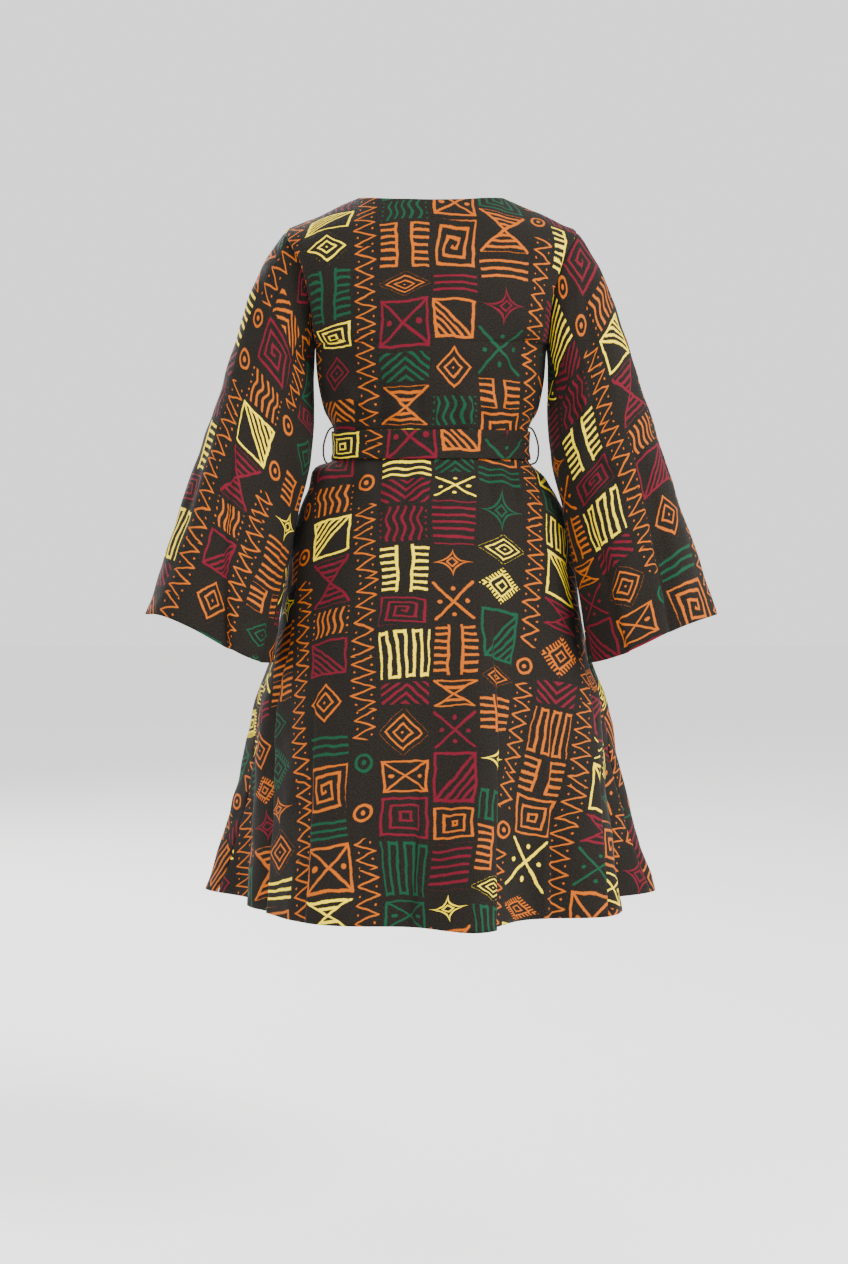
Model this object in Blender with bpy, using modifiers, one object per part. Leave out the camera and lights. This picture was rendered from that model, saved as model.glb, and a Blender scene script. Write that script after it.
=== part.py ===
# Wrap dress with flared sleeves and a tied belt, in its worn form, in metres.
# The origin is midway between the shoulders at the height of the neck ends of the shoulder seams.
# The front faces -Y, the wearer's left is +X and up is +Z.
import bpy
import bmesh
import numpy as np

# Cloth and seams
CLOTH_WALL = 0.0015
SEAM_GAP = 0.0003
WRAP_STEP = 0.0036

# Heights, measured down from the neck ends of the shoulder seams
SHOULDER_DROP = 0.045
BACK_NECK_DROP = 0.008
UNDERARM = -0.210
WAIST = -0.355
HEM = -1.010

# Widths from the centre line
NECK_HALF_WIDTH = 0.108
SHOULDER_HALF_WIDTH = 0.210

# Rounding over the shoulders, and the armhole's reach to the back and to the front
SHOULDER_ROUNDING = 0.070
NECK_RISE = 0.050
ARMHOLE_WIDEST = -0.115
ARMHOLE_BACK = 0.058
ARMHOLE_FRONT = 0.060

# Sections of bodice and skirt: height, half width, depth behind and in front of the side seams
SECTIONS = (
    (0.000, 0.210, 0.060, 0.030),
    (-0.045, 0.210, 0.092, 0.054),
    (-0.100, 0.187, 0.114, 0.090),
    (-0.150, 0.174, 0.124, 0.122),
    (-0.210, 0.168, 0.122, 0.144),
    (-0.255, 0.165, 0.117, 0.148),
    (-0.302, 0.156, 0.109, 0.129),
    (-0.334, 0.1415, 0.101, 0.108),
    (-0.355, 0.1400, 0.100, 0.106),
    (-0.376, 0.1425, 0.102, 0.108),
    (-0.400, 0.164, 0.122, 0.118),
    (-0.448, 0.192, 0.150, 0.138),
    (-0.580, 0.222, 0.198, 0.182),
    (-0.640, 0.236, 0.213, 0.198),
    (-0.730, 0.268, 0.232, 0.218),
    (-0.870, 0.293, 0.257, 0.247),
    (-1.010, 0.327, 0.275, 0.275),
)

# Free edge of the outer front: height and distance past the centre line to the wearer's left
WRAP_EDGE = (
    (0.000, -0.108),
    (-0.100, -0.056),
    (-0.200, 0.002),
    (-0.280, 0.054),
    (-0.355, 0.108),
    (-0.450, 0.122),
    (-0.700, 0.136),
    (-1.010, 0.150),
)
WRAP_FADE = 22.0

# Folds of the skirt: turn from the centre back at the hem and at the waist, depth at the hem,
# half width in degrees, and the height where the fold begins
SKIRT_FOLDS = (
    (77, 98, -0.055, 14, -0.50),
    (97, 112, 0.018, 9, -0.60),
    (52, 60, -0.020, 12, -0.55),
    (24, 30, 0.020, 14, -0.45),
    (-9, -22, 0.056, 9, -0.45),
    (-28, -38, -0.024, 10, -0.50),
    (-48, -58, 0.018, 10, -0.50),
    (-74, -96, -0.066, 12, -0.50),
    (-97, -112, 0.014, 9, -0.60),
    (118, 124, -0.030, 11, -0.50),
    (138, 140, 0.024, 13, -0.45),
    (163, 160, -0.012, 15, -0.60),
    (-120, -126, -0.032, 11, -0.55),
    (-143, -142, 0.026, 12, -0.50),
    (-169, -165, -0.014, 15, -0.60),
)

# Sleeve sections: share of its length, outer edge x and z, inner edge x and z,
# y of the centre, and half depth
SLEEVE_SECTIONS = (
    (0.00, 0.2100, -0.0450, 0.1680, -0.2100, 0.000, 0.060),
    (0.10, 0.2425, -0.0940, 0.1700, -0.2570, 0.000, 0.064),
    (0.20, 0.2655, -0.1485, 0.1690, -0.3040, 0.005, 0.067),
    (0.35, 0.2905, -0.2320, 0.1735, -0.3740, 0.020, 0.071),
    (0.50, 0.3160, -0.3158, 0.1885, -0.4430, 0.042, 0.075),
    (0.75, 0.3600, -0.4560, 0.2088, -0.5570, 0.080, 0.082),
    (1.00, 0.4035, -0.5945, 0.2235, -0.6630, 0.109, 0.086),
)
SLEEVE_CAP = 0.25
SLEEVE_SEAM = 0.0006

# Folds of the sleeves: turn from the outer edge over the back, depth at the cuff,
# half width in degrees, and the share of the length where the fold begins
LEFT_SLEEVE_FOLDS = (
    (62, 0.006, 20, 0.30),
    (104, -0.013, 15, 0.35),
    (140, 0.007, 16, 0.40),
    (-80, -0.012, 18, 0.35),
    (-128, 0.008, 18, 0.40),
)
RIGHT_SLEEVE_FOLDS = (
    (72, -0.008, 17, 0.35),
    (116, 0.007, 20, 0.40),
    (-64, 0.008, 18, 0.40),
    (-104, -0.012, 16, 0.35),
)
# How far each cuff's back edge dips on its way round, and how far its middle is lifted
LEFT_CUFF = (0.008, 0.010)
RIGHT_CUFF = (0.004, 0.006)

# Belt, its knot and its two tails. The knot's cage is larger than the knot that it rounds to.
BELT_WIDTH = 0.042
BELT_WALL = 0.002
BELT_LIFT = 0.0009
KNOT_TURN = 143.5
KNOT_SIZE = (0.062, 0.028, 0.056)
KNOT_ROUNDED = 0.85
TAIL_TOP = 0.3785
TAIL_LIFT = 0.0012
TAIL_PINCH = 0.010
TAIL_FULL = 0.500
TAIL_LAST = 0.020
# Tails: name, turn from the centre back at the knot and at the end, and depth of the end
TAILS = (
    ("belt_tail_upper", 137.0, 139.0, 0.700),
    ("belt_tail_under", 150.0, 162.0, 0.755),
)

# Thread belt loops: distance past the side seam's start, and height, from top to bottom
LOOP_THREAD = 0.0024
LOOP_ROUTE = (
    (0.0034, -0.3290),
    (0.0065, -0.3310),
    (0.0110, -0.3370),
    (0.0155, -0.3470),
    (0.0185, -0.3580),
    (0.0190, -0.3660),
    (0.0165, -0.3740),
    (0.0125, -0.3790),
    (0.0070, -0.3810),
)

# Divisions of the panels
ARMHOLE_ROWS = 12
BODICE_DEPTHS = (0.250, 0.285, 0.312, 0.334, 0.355)
SHOULDER_COLUMNS = 6
NECK_COLUMNS = 8
FRONT_COLUMNS = 12
BACK_SKIRT_COLUMNS = 40
FRONT_SKIRT_COLUMNS = 26
SLEEVE_COLUMNS = 24
SLEEVE_ROWS = 12
SLEEVE_CROWDING = 1.15
BELT_COLUMNS = 48
TAIL_COLUMNS = 6
SKIRT_DEPTHS = (0.355, 0.376, 0.388, 0.400, 0.425, 0.460, 0.520, 0.600, 0.690,
                0.780, 0.870, 0.945, 1.010)
NUDGE = 1e-5

GROUND_COLOUR = (0.030, 0.027, 0.025, 1.0)
THREAD_COLOUR = (0.012, 0.011, 0.010, 1.0)


def start_collection():
    for item in list(bpy.data.objects):
        bpy.data.objects.remove(item)
    collection = bpy.data.collections.new("wrap_dress")
    bpy.context.scene.collection.children.link(collection)
    return collection


def make_material(name, colour, roughness):
    material = bpy.data.materials.new(name)
    material.use_nodes = True
    shader = material.node_tree.nodes["Principled BSDF"]
    shader.inputs["Base Color"].default_value = colour
    shader.inputs["Roughness"].default_value = roughness
    shader.inputs["Metallic"].default_value = 0.0
    return material


# Value of each column of a table at a height or share, on a smooth curve that never overshoots
def columns_at(table, places):
    rows = np.array(sorted(table))
    knots = rows[:, 0]
    values = rows[:, 1:]
    steps = np.diff(knots)[:, None]
    slopes = np.diff(values, axis=0) / steps
    product = slopes[1:] * slopes[:-1]
    total = slopes[1:] + slopes[:-1]
    agreeing = product > 0
    middle = np.where(agreeing, 2 * product / np.where(agreeing, total, 1), 0)
    tangents = np.vstack([slopes[:1], middle, slopes[-1:]])
    at = np.clip(places, knots[0], knots[-1])
    index = np.clip(np.searchsorted(knots, at) - 1, 0, len(steps) - 1)
    span = steps[index]
    part = (at - knots[index])[..., None] / span
    rest = 1 - part
    found = (values[index] * rest ** 2 * (1 + 2 * part)
             + values[index + 1] * part ** 2 * (3 - 2 * part)
             + tangents[index] * span * part * rest ** 2
             - tangents[index + 1] * span * part ** 2 * rest)
    return np.moveaxis(found, -1, 0)


def smooth_step(share):
    share = np.clip(share, 0, 1)
    return share * share * (3 - 2 * share)


# Height of the shoulder seams, carried on as a low dome over the neck opening
def shoulder_height(x):
    out = np.abs(x)
    slope = SHOULDER_DROP / (SHOULDER_HALF_WIDTH - NECK_HALF_WIDTH)
    dome = NECK_RISE * (1 - (out / NECK_HALF_WIDTH) ** 2)
    return np.where(out < NECK_HALF_WIDTH, dome, -slope * (out - NECK_HALF_WIDTH))


# Sum of the folds at a turn round the skirt, as a distance outwards
def skirt_folds(turn, height):
    total = np.zeros(np.broadcast(turn, height).shape)
    for hem_turn, waist_turn, depth, half_width, start in SKIRT_FOLDS:
        growth = np.clip((start - height) / (start - HEM), 0, 1)
        centre = waist_turn + (hem_turn - waist_turn) * np.clip((WAIST - height) / (WAIST - HEM), 0, 1)
        away = (np.degrees(turn) - centre + 180) % 360 - 180
        total = total + depth * growth ** 1.3 * np.exp(-(away / half_width) ** 2)
    return total


# Point of the dress at an angle from its middle and a height. The side is 1 for the back and -1
# for the front, and the angle runs from -90 degrees at the wearer's right to 90 at the left.
def dress_points(angle, height, side):
    half_width, back, front = columns_at(SECTIONS, height)
    depth = back if side > 0 else front
    reach = ARMHOLE_BACK if side > 0 else ARMHOLE_FRONT
    below = np.clip((ARMHOLE_WIDEST - height) / (ARMHOLE_WIDEST - UNDERARM), 0, 1)
    edge = reach * np.sqrt(1 - below ** 2)
    x = half_width * np.sin(angle)
    drop = np.clip((shoulder_height(x) - height) / SHOULDER_ROUNDING, 0, 1)
    rise = np.sqrt(1 - (1 - drop) ** 2)
    y = side * rise * (edge + (depth - edge) * np.cos(angle))
    turn = angle if side > 0 else np.pi - angle
    swell = 1 + skirt_folds(turn, height) / np.hypot(x, y)
    return np.stack([x * swell, y * swell, height + 0 * x], axis=-1)


# Angle of the outer front's free edge at a height
def wrap_angle(height):
    half_width = columns_at(SECTIONS, height)[0]
    return np.arcsin(columns_at(WRAP_EDGE, height)[0] / half_width)


# Height at a row of the bodice, from its top edge over the underarm, at row 1, to the waist, at 2
def bodice_height(top, row):
    above = top + (UNDERARM - top) * (0.5 - 0.5 * np.cos(np.pi * np.clip(row, 0, 1)))
    return above + (WAIST - UNDERARM) * np.clip(row - 1, 0, 1)


def back_bodice(column, row):
    x = SHOULDER_HALF_WIDTH * np.sin(column)
    neck = -BACK_NECK_DROP * (1 - (x / NECK_HALF_WIDTH) ** 2)
    top = np.where(np.abs(x) < NECK_HALF_WIDTH, neck, shoulder_height(x))
    return column, bodice_height(top, row)


# The outer front runs from the right side seam to its free edge on the wearer's left
def front_bodice(column, row):
    neck_angle = np.arcsin(NECK_HALF_WIDTH / SHOULDER_HALF_WIDTH)
    top_angle = -np.pi / 2 + (np.pi / 2 - neck_angle) * column
    top = shoulder_height(SHOULDER_HALF_WIDTH * np.sin(top_angle))
    edge = wrap_angle(bodice_height(0 * top, row))
    return -np.pi / 2 + (np.pi / 2 + edge) * column, bodice_height(top, row)


# Rows of the skirt are depths below the origin
def back_skirt(column, depth):
    return column, -depth


def front_skirt(column, depth):
    return -np.pi / 2 + (np.pi / 2 + wrap_angle(-depth)) * column, -depth


# Half of the armhole's seam line is on the back and half on the front
def armhole(turn):
    middle = (UNDERARM - SHOULDER_DROP) / 2
    height = middle - (UNDERARM + SHOULDER_DROP) / 2 * np.cos(turn)
    right_angle = np.full(np.shape(turn), np.pi / 2)
    back = dress_points(right_angle, height, 1)
    front = dress_points(right_angle, height, -1)
    return np.where((np.sin(turn) >= 0)[..., None], back, front)


# Point of the left sleeve at a turn from its outer edge over the back, and a share of its length
def sleeve_points(turn, share, folds, cuff):
    outer_x, outer_z, inner_x, inner_z, centre_y, half_depth = columns_at(SLEEVE_SECTIONS, share)
    across = np.cos(turn)
    swell = np.zeros(np.shape(turn))
    for fold_turn, depth, half_width, start in folds:
        growth = smooth_step((share - start) / (1 - start))
        away = (np.degrees(turn) - fold_turn + 180) % 360 - 180
        swell = swell + depth * growth * np.exp(-(away / half_width) ** 2)
    half_span = np.hypot(outer_x - inner_x, outer_z - inner_z) / 2
    across_swell = across * (1 + swell / half_span)
    x = (outer_x + inner_x) / 2 + (outer_x - inner_x) / 2 * across_swell
    z = (outer_z + inner_z) / 2 + (outer_z - inner_z) / 2 * across_swell
    y = centre_y + (half_depth + swell) * np.sin(turn)
    dip, lift = cuff
    z = z + smooth_step(share) * np.sin(turn) * (dip * np.sin(2 * turn) + lift * np.sin(turn))
    tube = np.stack([x, y, z], axis=-1)
    first = columns_at(SLEEVE_SECTIONS, 0 * share)
    plain = np.stack([(first[0] + first[2]) / 2 + (first[0] - first[2]) / 2 * across,
                      first[5] * np.sin(turn),
                      (first[1] + first[3]) / 2 + (first[1] - first[3]) / 2 * across], axis=-1)
    cap = (1 - smooth_step(share / SLEEVE_CAP))[..., None]
    return tube + cap * (armhole(turn) - plain) + np.array([SLEEVE_SEAM, 0, 0])


# Outward unit normals, from two points close beside each point of a surface
def normals_of(surface, columns, rows, facing):
    first, last = columns.min(), columns.max()
    top, bottom = rows.min(), rows.max()
    along = (surface(np.clip(columns + NUDGE, first, last), rows)
             - surface(np.clip(columns - NUDGE, first, last), rows))
    down = (surface(columns, np.clip(rows + NUDGE, top, bottom))
            - surface(columns, np.clip(rows - NUDGE, top, bottom)))
    normal = facing * np.cross(along, down)
    return normal / np.linalg.norm(normal, axis=-1, keepdims=True)


# Draws the seam edges of a grid of points back by half of the seam gap
def draw_back(points):
    moved = points.copy()
    for edge, beside in ((0, 1), (-1, -2)):
        across = points[beside] - points[edge]
        moved[edge] += across / np.linalg.norm(across, axis=-1, keepdims=True) * SEAM_GAP / 2
        along = points[:, beside] - points[:, edge]
        moved[:, edge] += along / np.linalg.norm(along, axis=-1, keepdims=True) * SEAM_GAP / 2
    return moved


def strip_triangles(first, second, third, fourth):
    corners = [np.stack([first, second, third], axis=-1), np.stack([first, third, fourth], axis=-1)]
    return np.concatenate(corners).reshape(-1, 3)


# Solid wall between an outer and an inner grid of points, which loft unlike sections
def add_wall(collection, name, material, outer, inner, is_ring=False):
    index = np.arange(outer.shape[0] * outer.shape[1]).reshape(outer.shape[:2])
    if is_ring:
        index = np.concatenate([index, index[:, :1]], axis=1)
    inside = index + outer.shape[0] * outer.shape[1]
    skin = strip_triangles(index[:-1, :-1].ravel(), index[:-1, 1:].ravel(),
                           index[1:, 1:].ravel(), index[1:, :-1].ravel())
    faces = [skin, skin[:, ::-1] + outer.shape[0] * outer.shape[1]]
    for edge in (0, -1):
        faces.append(strip_triangles(index[edge, :-1], index[edge, 1:],
                                     inside[edge, 1:], inside[edge, :-1]))
        if not is_ring:
            faces.append(strip_triangles(index[:-1, edge], index[1:, edge],
                                         inside[1:, edge], inside[:-1, edge]))
    points = np.concatenate([outer.reshape(-1, 3), inner.reshape(-1, 3)])
    mesh = bpy.data.meshes.new(name)
    mesh.from_pydata(points.tolist(), [], np.concatenate(faces).tolist())
    shaped = bmesh.new()
    shaped.from_mesh(mesh)
    bmesh.ops.recalc_face_normals(shaped, faces=shaped.faces)
    shaped.to_mesh(mesh)
    shaped.free()
    mesh.shade_smooth()
    mesh.materials.append(material)
    piece = bpy.data.objects.new(name, mesh)
    collection.objects.link(piece)
    return piece


# Panel of the dress: place turns a column and a row into an angle and a height
def add_panel(collection, name, material, place, columns, rows, side, hand=1, tucked=False):
    def surface(column, row):
        angle, height = place(column, row)
        return dress_points(hand * angle, height, side)

    column, row = np.meshgrid(columns, rows)
    points = surface(column, row)
    normal = normals_of(surface, column, row, side * hand)
    # Above the underarm the wall never leans out past the armhole's seam line
    out = np.sign(points[..., 0])
    level = np.where(points[..., 2] > UNDERARM, np.maximum(normal[..., 0] * out, 0) * out, normal[..., 0])
    normal[..., 0] = level
    normal = normal / np.linalg.norm(normal, axis=-1, keepdims=True)
    depth = np.zeros(column.shape)
    if tucked:
        angle, height = place(column, row)
        past = np.degrees(hand * angle - wrap_angle(height))
        depth = WRAP_STEP * (1 - smooth_step(past / WRAP_FADE))
    outer = points - normal * depth[..., None]
    inner = points - normal * (depth[..., None] + CLOTH_WALL)
    return add_wall(collection, name, material, draw_back(outer), draw_back(inner))


def add_bodice(collection, material):
    neck_angle = np.arcsin(NECK_HALF_WIDTH / SHOULDER_HALF_WIDTH)
    shoulder = np.linspace(-np.pi / 2, -neck_angle, SHOULDER_COLUMNS + 1)
    neck = np.linspace(-neck_angle, neck_angle, NECK_COLUMNS + 1)
    back_columns = np.concatenate([shoulder[:-1], neck, -shoulder[-2::-1]])
    front_columns = np.linspace(0, 1, FRONT_COLUMNS + 1)
    upper = np.linspace(0, 1, ARMHOLE_ROWS + 1)
    lower = 1 + (UNDERARM + np.array(BODICE_DEPTHS)) / (UNDERARM - WAIST)
    rows = np.concatenate([upper, lower])
    add_panel(collection, "back_bodice", material, back_bodice, back_columns, rows, 1)
    add_panel(collection, "right_front_bodice", material, front_bodice, front_columns, rows, -1)
    add_panel(collection, "left_front_bodice", material, front_bodice, front_columns, rows, -1,
              hand=-1, tucked=True)


def add_skirt(collection, material):
    depths = np.array(SKIRT_DEPTHS)
    back_columns = np.linspace(-np.pi / 2, np.pi / 2, BACK_SKIRT_COLUMNS + 1)
    front_columns = np.linspace(0, 1, FRONT_SKIRT_COLUMNS + 1)
    add_panel(collection, "back_skirt", material, back_skirt, back_columns, depths, 1)
    add_panel(collection, "right_front_skirt", material, front_skirt, front_columns, depths, -1)
    add_panel(collection, "left_front_skirt", material, front_skirt, front_columns, depths, -1,
              hand=-1, tucked=True)


def add_sleeve(collection, name, material, folds, cuff, hand):
    def surface(turn, share):
        return sleeve_points(turn, share, folds, cuff)

    turns = np.arange(SLEEVE_COLUMNS) * 2 * np.pi / SLEEVE_COLUMNS
    shares = np.linspace(0, 1, SLEEVE_ROWS + 1) ** SLEEVE_CROWDING
    turn, share = np.meshgrid(turns, shares)
    points = surface(turn, share)
    normal = normals_of(surface, turn, share, -1)
    # The first ring's wall stays outside the armhole's seam line
    normal[0, :, 0] = np.minimum(normal[0, :, 0], 0)
    normal[0] = normal[0] / np.linalg.norm(normal[0], axis=-1, keepdims=True)
    mirror = np.array([hand, 1, 1])
    outer = points * mirror
    inner = (points - normal * CLOTH_WALL) * mirror
    add_wall(collection, name, material, outer, inner, is_ring=True)


# Surface all round at a depth below the origin, by the turn from the centre back towards the
# wearer's left
def round_surface(turn, depth):
    behind = dress_points(turn, -depth, 1)
    before = dress_points(np.pi - turn, -depth, -1)
    return np.where((np.cos(turn) >= 0)[..., None], behind, before)


def lifted(surface, column, row, distance):
    normal = normals_of(surface, column, row, 1)
    return surface(column, row) + normal * distance


def add_belt(collection, material):
    turns = np.arange(BELT_COLUMNS) * 2 * np.pi / BELT_COLUMNS
    depths = BELT_WIDTH / 2 * np.array([-1, 0, 1]) - WAIST
    turn, depth = np.meshgrid(turns, depths)
    inner = lifted(round_surface, turn, depth, BELT_LIFT)
    outer = lifted(round_surface, turn, depth, BELT_LIFT + BELT_WALL)
    add_wall(collection, "belt", material, outer, inner, is_ring=True)


def add_knot(collection, material):
    turn = np.radians(KNOT_TURN) + np.array([-NUDGE, 0, NUDGE])
    before, face, after = round_surface(turn, np.full(3, -WAIST))
    heading = np.arctan2(before[0] - after[0], after[1] - before[1])
    reach = BELT_LIFT + BELT_WALL + SEAM_GAP + KNOT_SIZE[1] / 2 * KNOT_ROUNDED
    away = face - np.array([np.cos(heading), np.sin(heading), 0]) * reach
    mesh = bpy.data.meshes.new("belt_knot")
    shaped = bmesh.new()
    bmesh.ops.create_cube(shaped, size=1.0)
    bmesh.ops.scale(shaped, vec=KNOT_SIZE, verts=shaped.verts)
    shaped.to_mesh(mesh)
    shaped.free()
    mesh.shade_smooth()
    mesh.materials.append(material)
    knot = bpy.data.objects.new("belt_knot", mesh)
    knot.location = away
    knot.rotation_euler = (0, 0, heading + np.pi / 2)
    soften = knot.modifiers.new("rounded", "SUBSURF")
    soften.levels = 2
    soften.render_levels = 2
    collection.objects.link(knot)


def add_tail(collection, name, material, top_turn, end_turn, end):
    def surface(side, depth):
        hung = smooth_step((depth - TAIL_TOP) / (end - TAIL_TOP))
        centre = np.radians(top_turn + (end_turn - top_turn) * hung)
        widening = smooth_step((depth - TAIL_TOP) / (TAIL_FULL - TAIL_TOP))
        half = TAIL_PINCH + (BELT_WIDTH / 2 - TAIL_PINCH) * widening
        middle = round_surface(centre, depth)
        beside = round_surface(centre + NUDGE, depth)
        speed = np.linalg.norm(beside - middle, axis=-1) / NUDGE
        return round_surface(centre + side * half / speed, depth)

    between = [depth for depth in SKIRT_DEPTHS if TAIL_TOP < depth < end - TAIL_LAST]
    depths = np.array([TAIL_TOP] + between + [end])
    side, depth = np.meshgrid(np.linspace(-1, 1, TAIL_COLUMNS + 1), depths)
    inner = lifted(surface, side, depth, TAIL_LIFT)
    outer = lifted(surface, side, depth, TAIL_LIFT + BELT_WALL)
    add_wall(collection, name, material, outer, inner)


def add_loop(collection, name, material, hand):
    start = columns_at(SECTIONS, np.array(WAIST + BELT_WIDTH / 2))[0]
    curve = bpy.data.curves.new(name, "CURVE")
    curve.dimensions = "3D"
    curve.bevel_depth = LOOP_THREAD / 2
    curve.bevel_resolution = 2
    curve.use_fill_caps = True
    spline = curve.splines.new("POLY")
    spline.points.add(len(LOOP_ROUTE) - 1)
    for point, (out, height) in zip(spline.points, LOOP_ROUTE):
        point.co = (hand * (start + out), 0, height, 1)
    curve.materials.append(material)
    loop = bpy.data.objects.new(name, curve)
    collection.objects.link(loop)


def main():
    collection = start_collection()
    cloth = {}
    for piece in ("bodice", "skirt", "sleeve", "belt"):
        cloth[piece] = make_material(f"printed cotton {piece}", GROUND_COLOUR, 0.85)
    thread = make_material("thread", THREAD_COLOUR, 0.7)
    add_bodice(collection, cloth["bodice"])
    add_skirt(collection, cloth["skirt"])
    add_sleeve(collection, "left_sleeve", cloth["sleeve"], LEFT_SLEEVE_FOLDS, LEFT_CUFF, 1)
    add_sleeve(collection, "right_sleeve", cloth["sleeve"], RIGHT_SLEEVE_FOLDS, RIGHT_CUFF, -1)
    add_belt(collection, cloth["belt"])
    add_knot(collection, cloth["belt"])
    for name, top_turn, end_turn, end in TAILS:
        add_tail(collection, name, cloth["belt"], top_turn, end_turn, end)
    add_loop(collection, "left_belt_loop", thread, 1)
    add_loop(collection, "right_belt_loop", thread, -1)


main()
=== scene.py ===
import math
import bmesh
import bpy
import numpy as np
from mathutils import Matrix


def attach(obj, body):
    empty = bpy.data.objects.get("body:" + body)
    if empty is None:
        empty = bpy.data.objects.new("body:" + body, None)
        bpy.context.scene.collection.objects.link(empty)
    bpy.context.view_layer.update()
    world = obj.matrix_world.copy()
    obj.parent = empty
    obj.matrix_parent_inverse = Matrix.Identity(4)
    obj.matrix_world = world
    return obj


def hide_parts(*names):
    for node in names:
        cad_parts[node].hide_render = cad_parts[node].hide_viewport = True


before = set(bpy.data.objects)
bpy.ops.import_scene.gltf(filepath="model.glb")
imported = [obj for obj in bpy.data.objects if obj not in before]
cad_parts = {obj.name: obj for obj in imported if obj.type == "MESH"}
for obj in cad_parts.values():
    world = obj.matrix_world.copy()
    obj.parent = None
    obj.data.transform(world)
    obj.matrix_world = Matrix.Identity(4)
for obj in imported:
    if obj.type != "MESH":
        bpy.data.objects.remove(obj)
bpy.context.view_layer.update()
print("frame loaded,", len(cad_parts), "nodes")

# The dress's own sizes, in metres, from the neck ends of the shoulder seams at height 0.
# The front faces -Y, the wearer's left is +X.
dress = {
    "neckHalfWidth": 0.108,
    "shoulderHalfWidth": 0.210,
    "shoulderDrop": 0.045,
    "backNeckDrop": 0.008,
    "shoulderRounding": 0.070,
    "neckRise": 0.050,
    "underarm": -0.210,
    "waist": -0.355,
    "hem": -1.010,
    "armholeWidest": -0.115,
    "armholeBack": 0.058,
    "armholeFront": 0.060,
    "clothThickness": 0.0009,
    # height, half width, depth behind and in front of the side seams
    "sections": (
        (0.000, 0.210, 0.060, 0.030),
        (-0.045, 0.210, 0.092, 0.054),
        (-0.100, 0.187, 0.114, 0.090),
        (-0.150, 0.174, 0.124, 0.122),
        (-0.210, 0.168, 0.122, 0.144),
        (-0.255, 0.165, 0.117, 0.148),
        (-0.302, 0.156, 0.109, 0.129),
        (-0.334, 0.1415, 0.101, 0.108),
        (-0.355, 0.1400, 0.100, 0.106),
        (-0.376, 0.1425, 0.102, 0.108),
        (-0.400, 0.164, 0.122, 0.118),
        (-0.448, 0.192, 0.150, 0.138),
        (-0.580, 0.222, 0.198, 0.182),
        (-0.640, 0.236, 0.213, 0.198),
        (-0.730, 0.268, 0.232, 0.218),
        (-0.870, 0.293, 0.257, 0.247),
        (-1.010, 0.327, 0.275, 0.275),
    ),
    # height, and how far the outer front reaches past the centre to the wearer's left
    "wrapEdge": (
        (0.000, -0.108),
        (-0.100, -0.056),
        (-0.200, 0.002),
        (-0.280, 0.054),
        (-0.355, 0.108),
        (-0.450, 0.122),
        (-0.700, 0.136),
        (-1.010, 0.150),
    ),
    "wrapStep": 0.0036,
    "wrapFade": 22.0,
    # the creases end over this length at the belt, down from this height over this length at the
    # shoulders, and over this angle in radians beside the armhole and the side seam
    "beltHold": 0.035,
    "shoulderHold": (0.018, 0.06),
    "seamHold": 0.20,
    "ripple": 0.0008,
    # turn from the centre back at the hem and at the waist, depth at the hem, half width
    # in degrees, height where the fold begins
    "skirtFolds": (
        (77, 98, -0.055, 14, -0.50),
        (97, 112, 0.018, 9, -0.60),
        (52, 60, -0.020, 12, -0.55),
        (24, 30, 0.020, 14, -0.45),
        (-9, -22, 0.056, 9, -0.45),
        (-28, -38, -0.024, 10, -0.50),
        (-48, -58, 0.018, 10, -0.50),
        (-74, -96, -0.066, 12, -0.50),
        (-97, -112, 0.014, 9, -0.60),
        (118, 124, -0.030, 11, -0.50),
        (138, 140, 0.024, 13, -0.45),
        (163, 160, -0.012, 15, -0.60),
        (-120, -126, -0.032, 11, -0.55),
        (-143, -142, 0.026, 12, -0.50),
        (-169, -165, -0.014, 15, -0.60),
    ),
}


# Monotone cubic curve through each column of a table whose first column is the place
def columnsAt(table, places):
    rows = np.array(sorted(table))
    knots, values = rows[:, 0], rows[:, 1:]
    steps = np.diff(knots)[:, None]
    slopes = np.diff(values, axis=0) / steps
    agreeing = slopes[1:] * slopes[:-1] > 0
    total = np.where(agreeing, slopes[1:] + slopes[:-1], 1)
    middle = np.where(agreeing, 2 * slopes[1:] * slopes[:-1] / total, 0)
    tangents = np.vstack([slopes[:1], middle, slopes[-1:]])
    at = np.clip(places, knots[0], knots[-1])
    index = np.clip(np.searchsorted(knots, at) - 1, 0, len(steps) - 1)
    span = steps[index]
    part = (at - knots[index])[..., None] / span
    rest = 1 - part
    found = (values[index] * rest ** 2 * (1 + 2 * part) + values[index + 1] * part ** 2 * (3 - 2 * part)
             + tangents[index] * span * part * rest ** 2
             - tangents[index + 1] * span * part ** 2 * rest)
    return np.moveaxis(found, -1, 0)


def smoothStep(share):
    share = np.clip(share, 0, 1)
    return share * share * (3 - 2 * share)


# Shoulder seam line, carried on over the neck opening as a low dome
def shoulderHeight(x):
    out = np.abs(x)
    slope = dress["shoulderDrop"] / (dress["shoulderHalfWidth"] - dress["neckHalfWidth"])
    dome = dress["neckRise"] * (1 - (out / dress["neckHalfWidth"]) ** 2)
    return np.where(out < dress["neckHalfWidth"], dome, -slope * (out - dress["neckHalfWidth"]))


# Sum of Gaussian ridges and troughs round the skirt, each growing from its own height to the hem
def skirtFolds(turn, height):
    total = np.zeros(np.broadcast(turn, height).shape)
    down = np.clip((dress["waist"] - height) / (dress["waist"] - dress["hem"]), 0, 1)
    for hemTurn, waistTurn, depth, halfWidth, start in dress["skirtFolds"]:
        growth = np.clip((start - height) / (start - dress["hem"]), 0, 1) ** 1.3
        away = (np.degrees(turn) - waistTurn - (hemTurn - waistTurn) * down + 180) % 360 - 180
        total = total + depth * growth * np.exp(-(away / halfWidth) ** 2)
    return total


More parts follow.
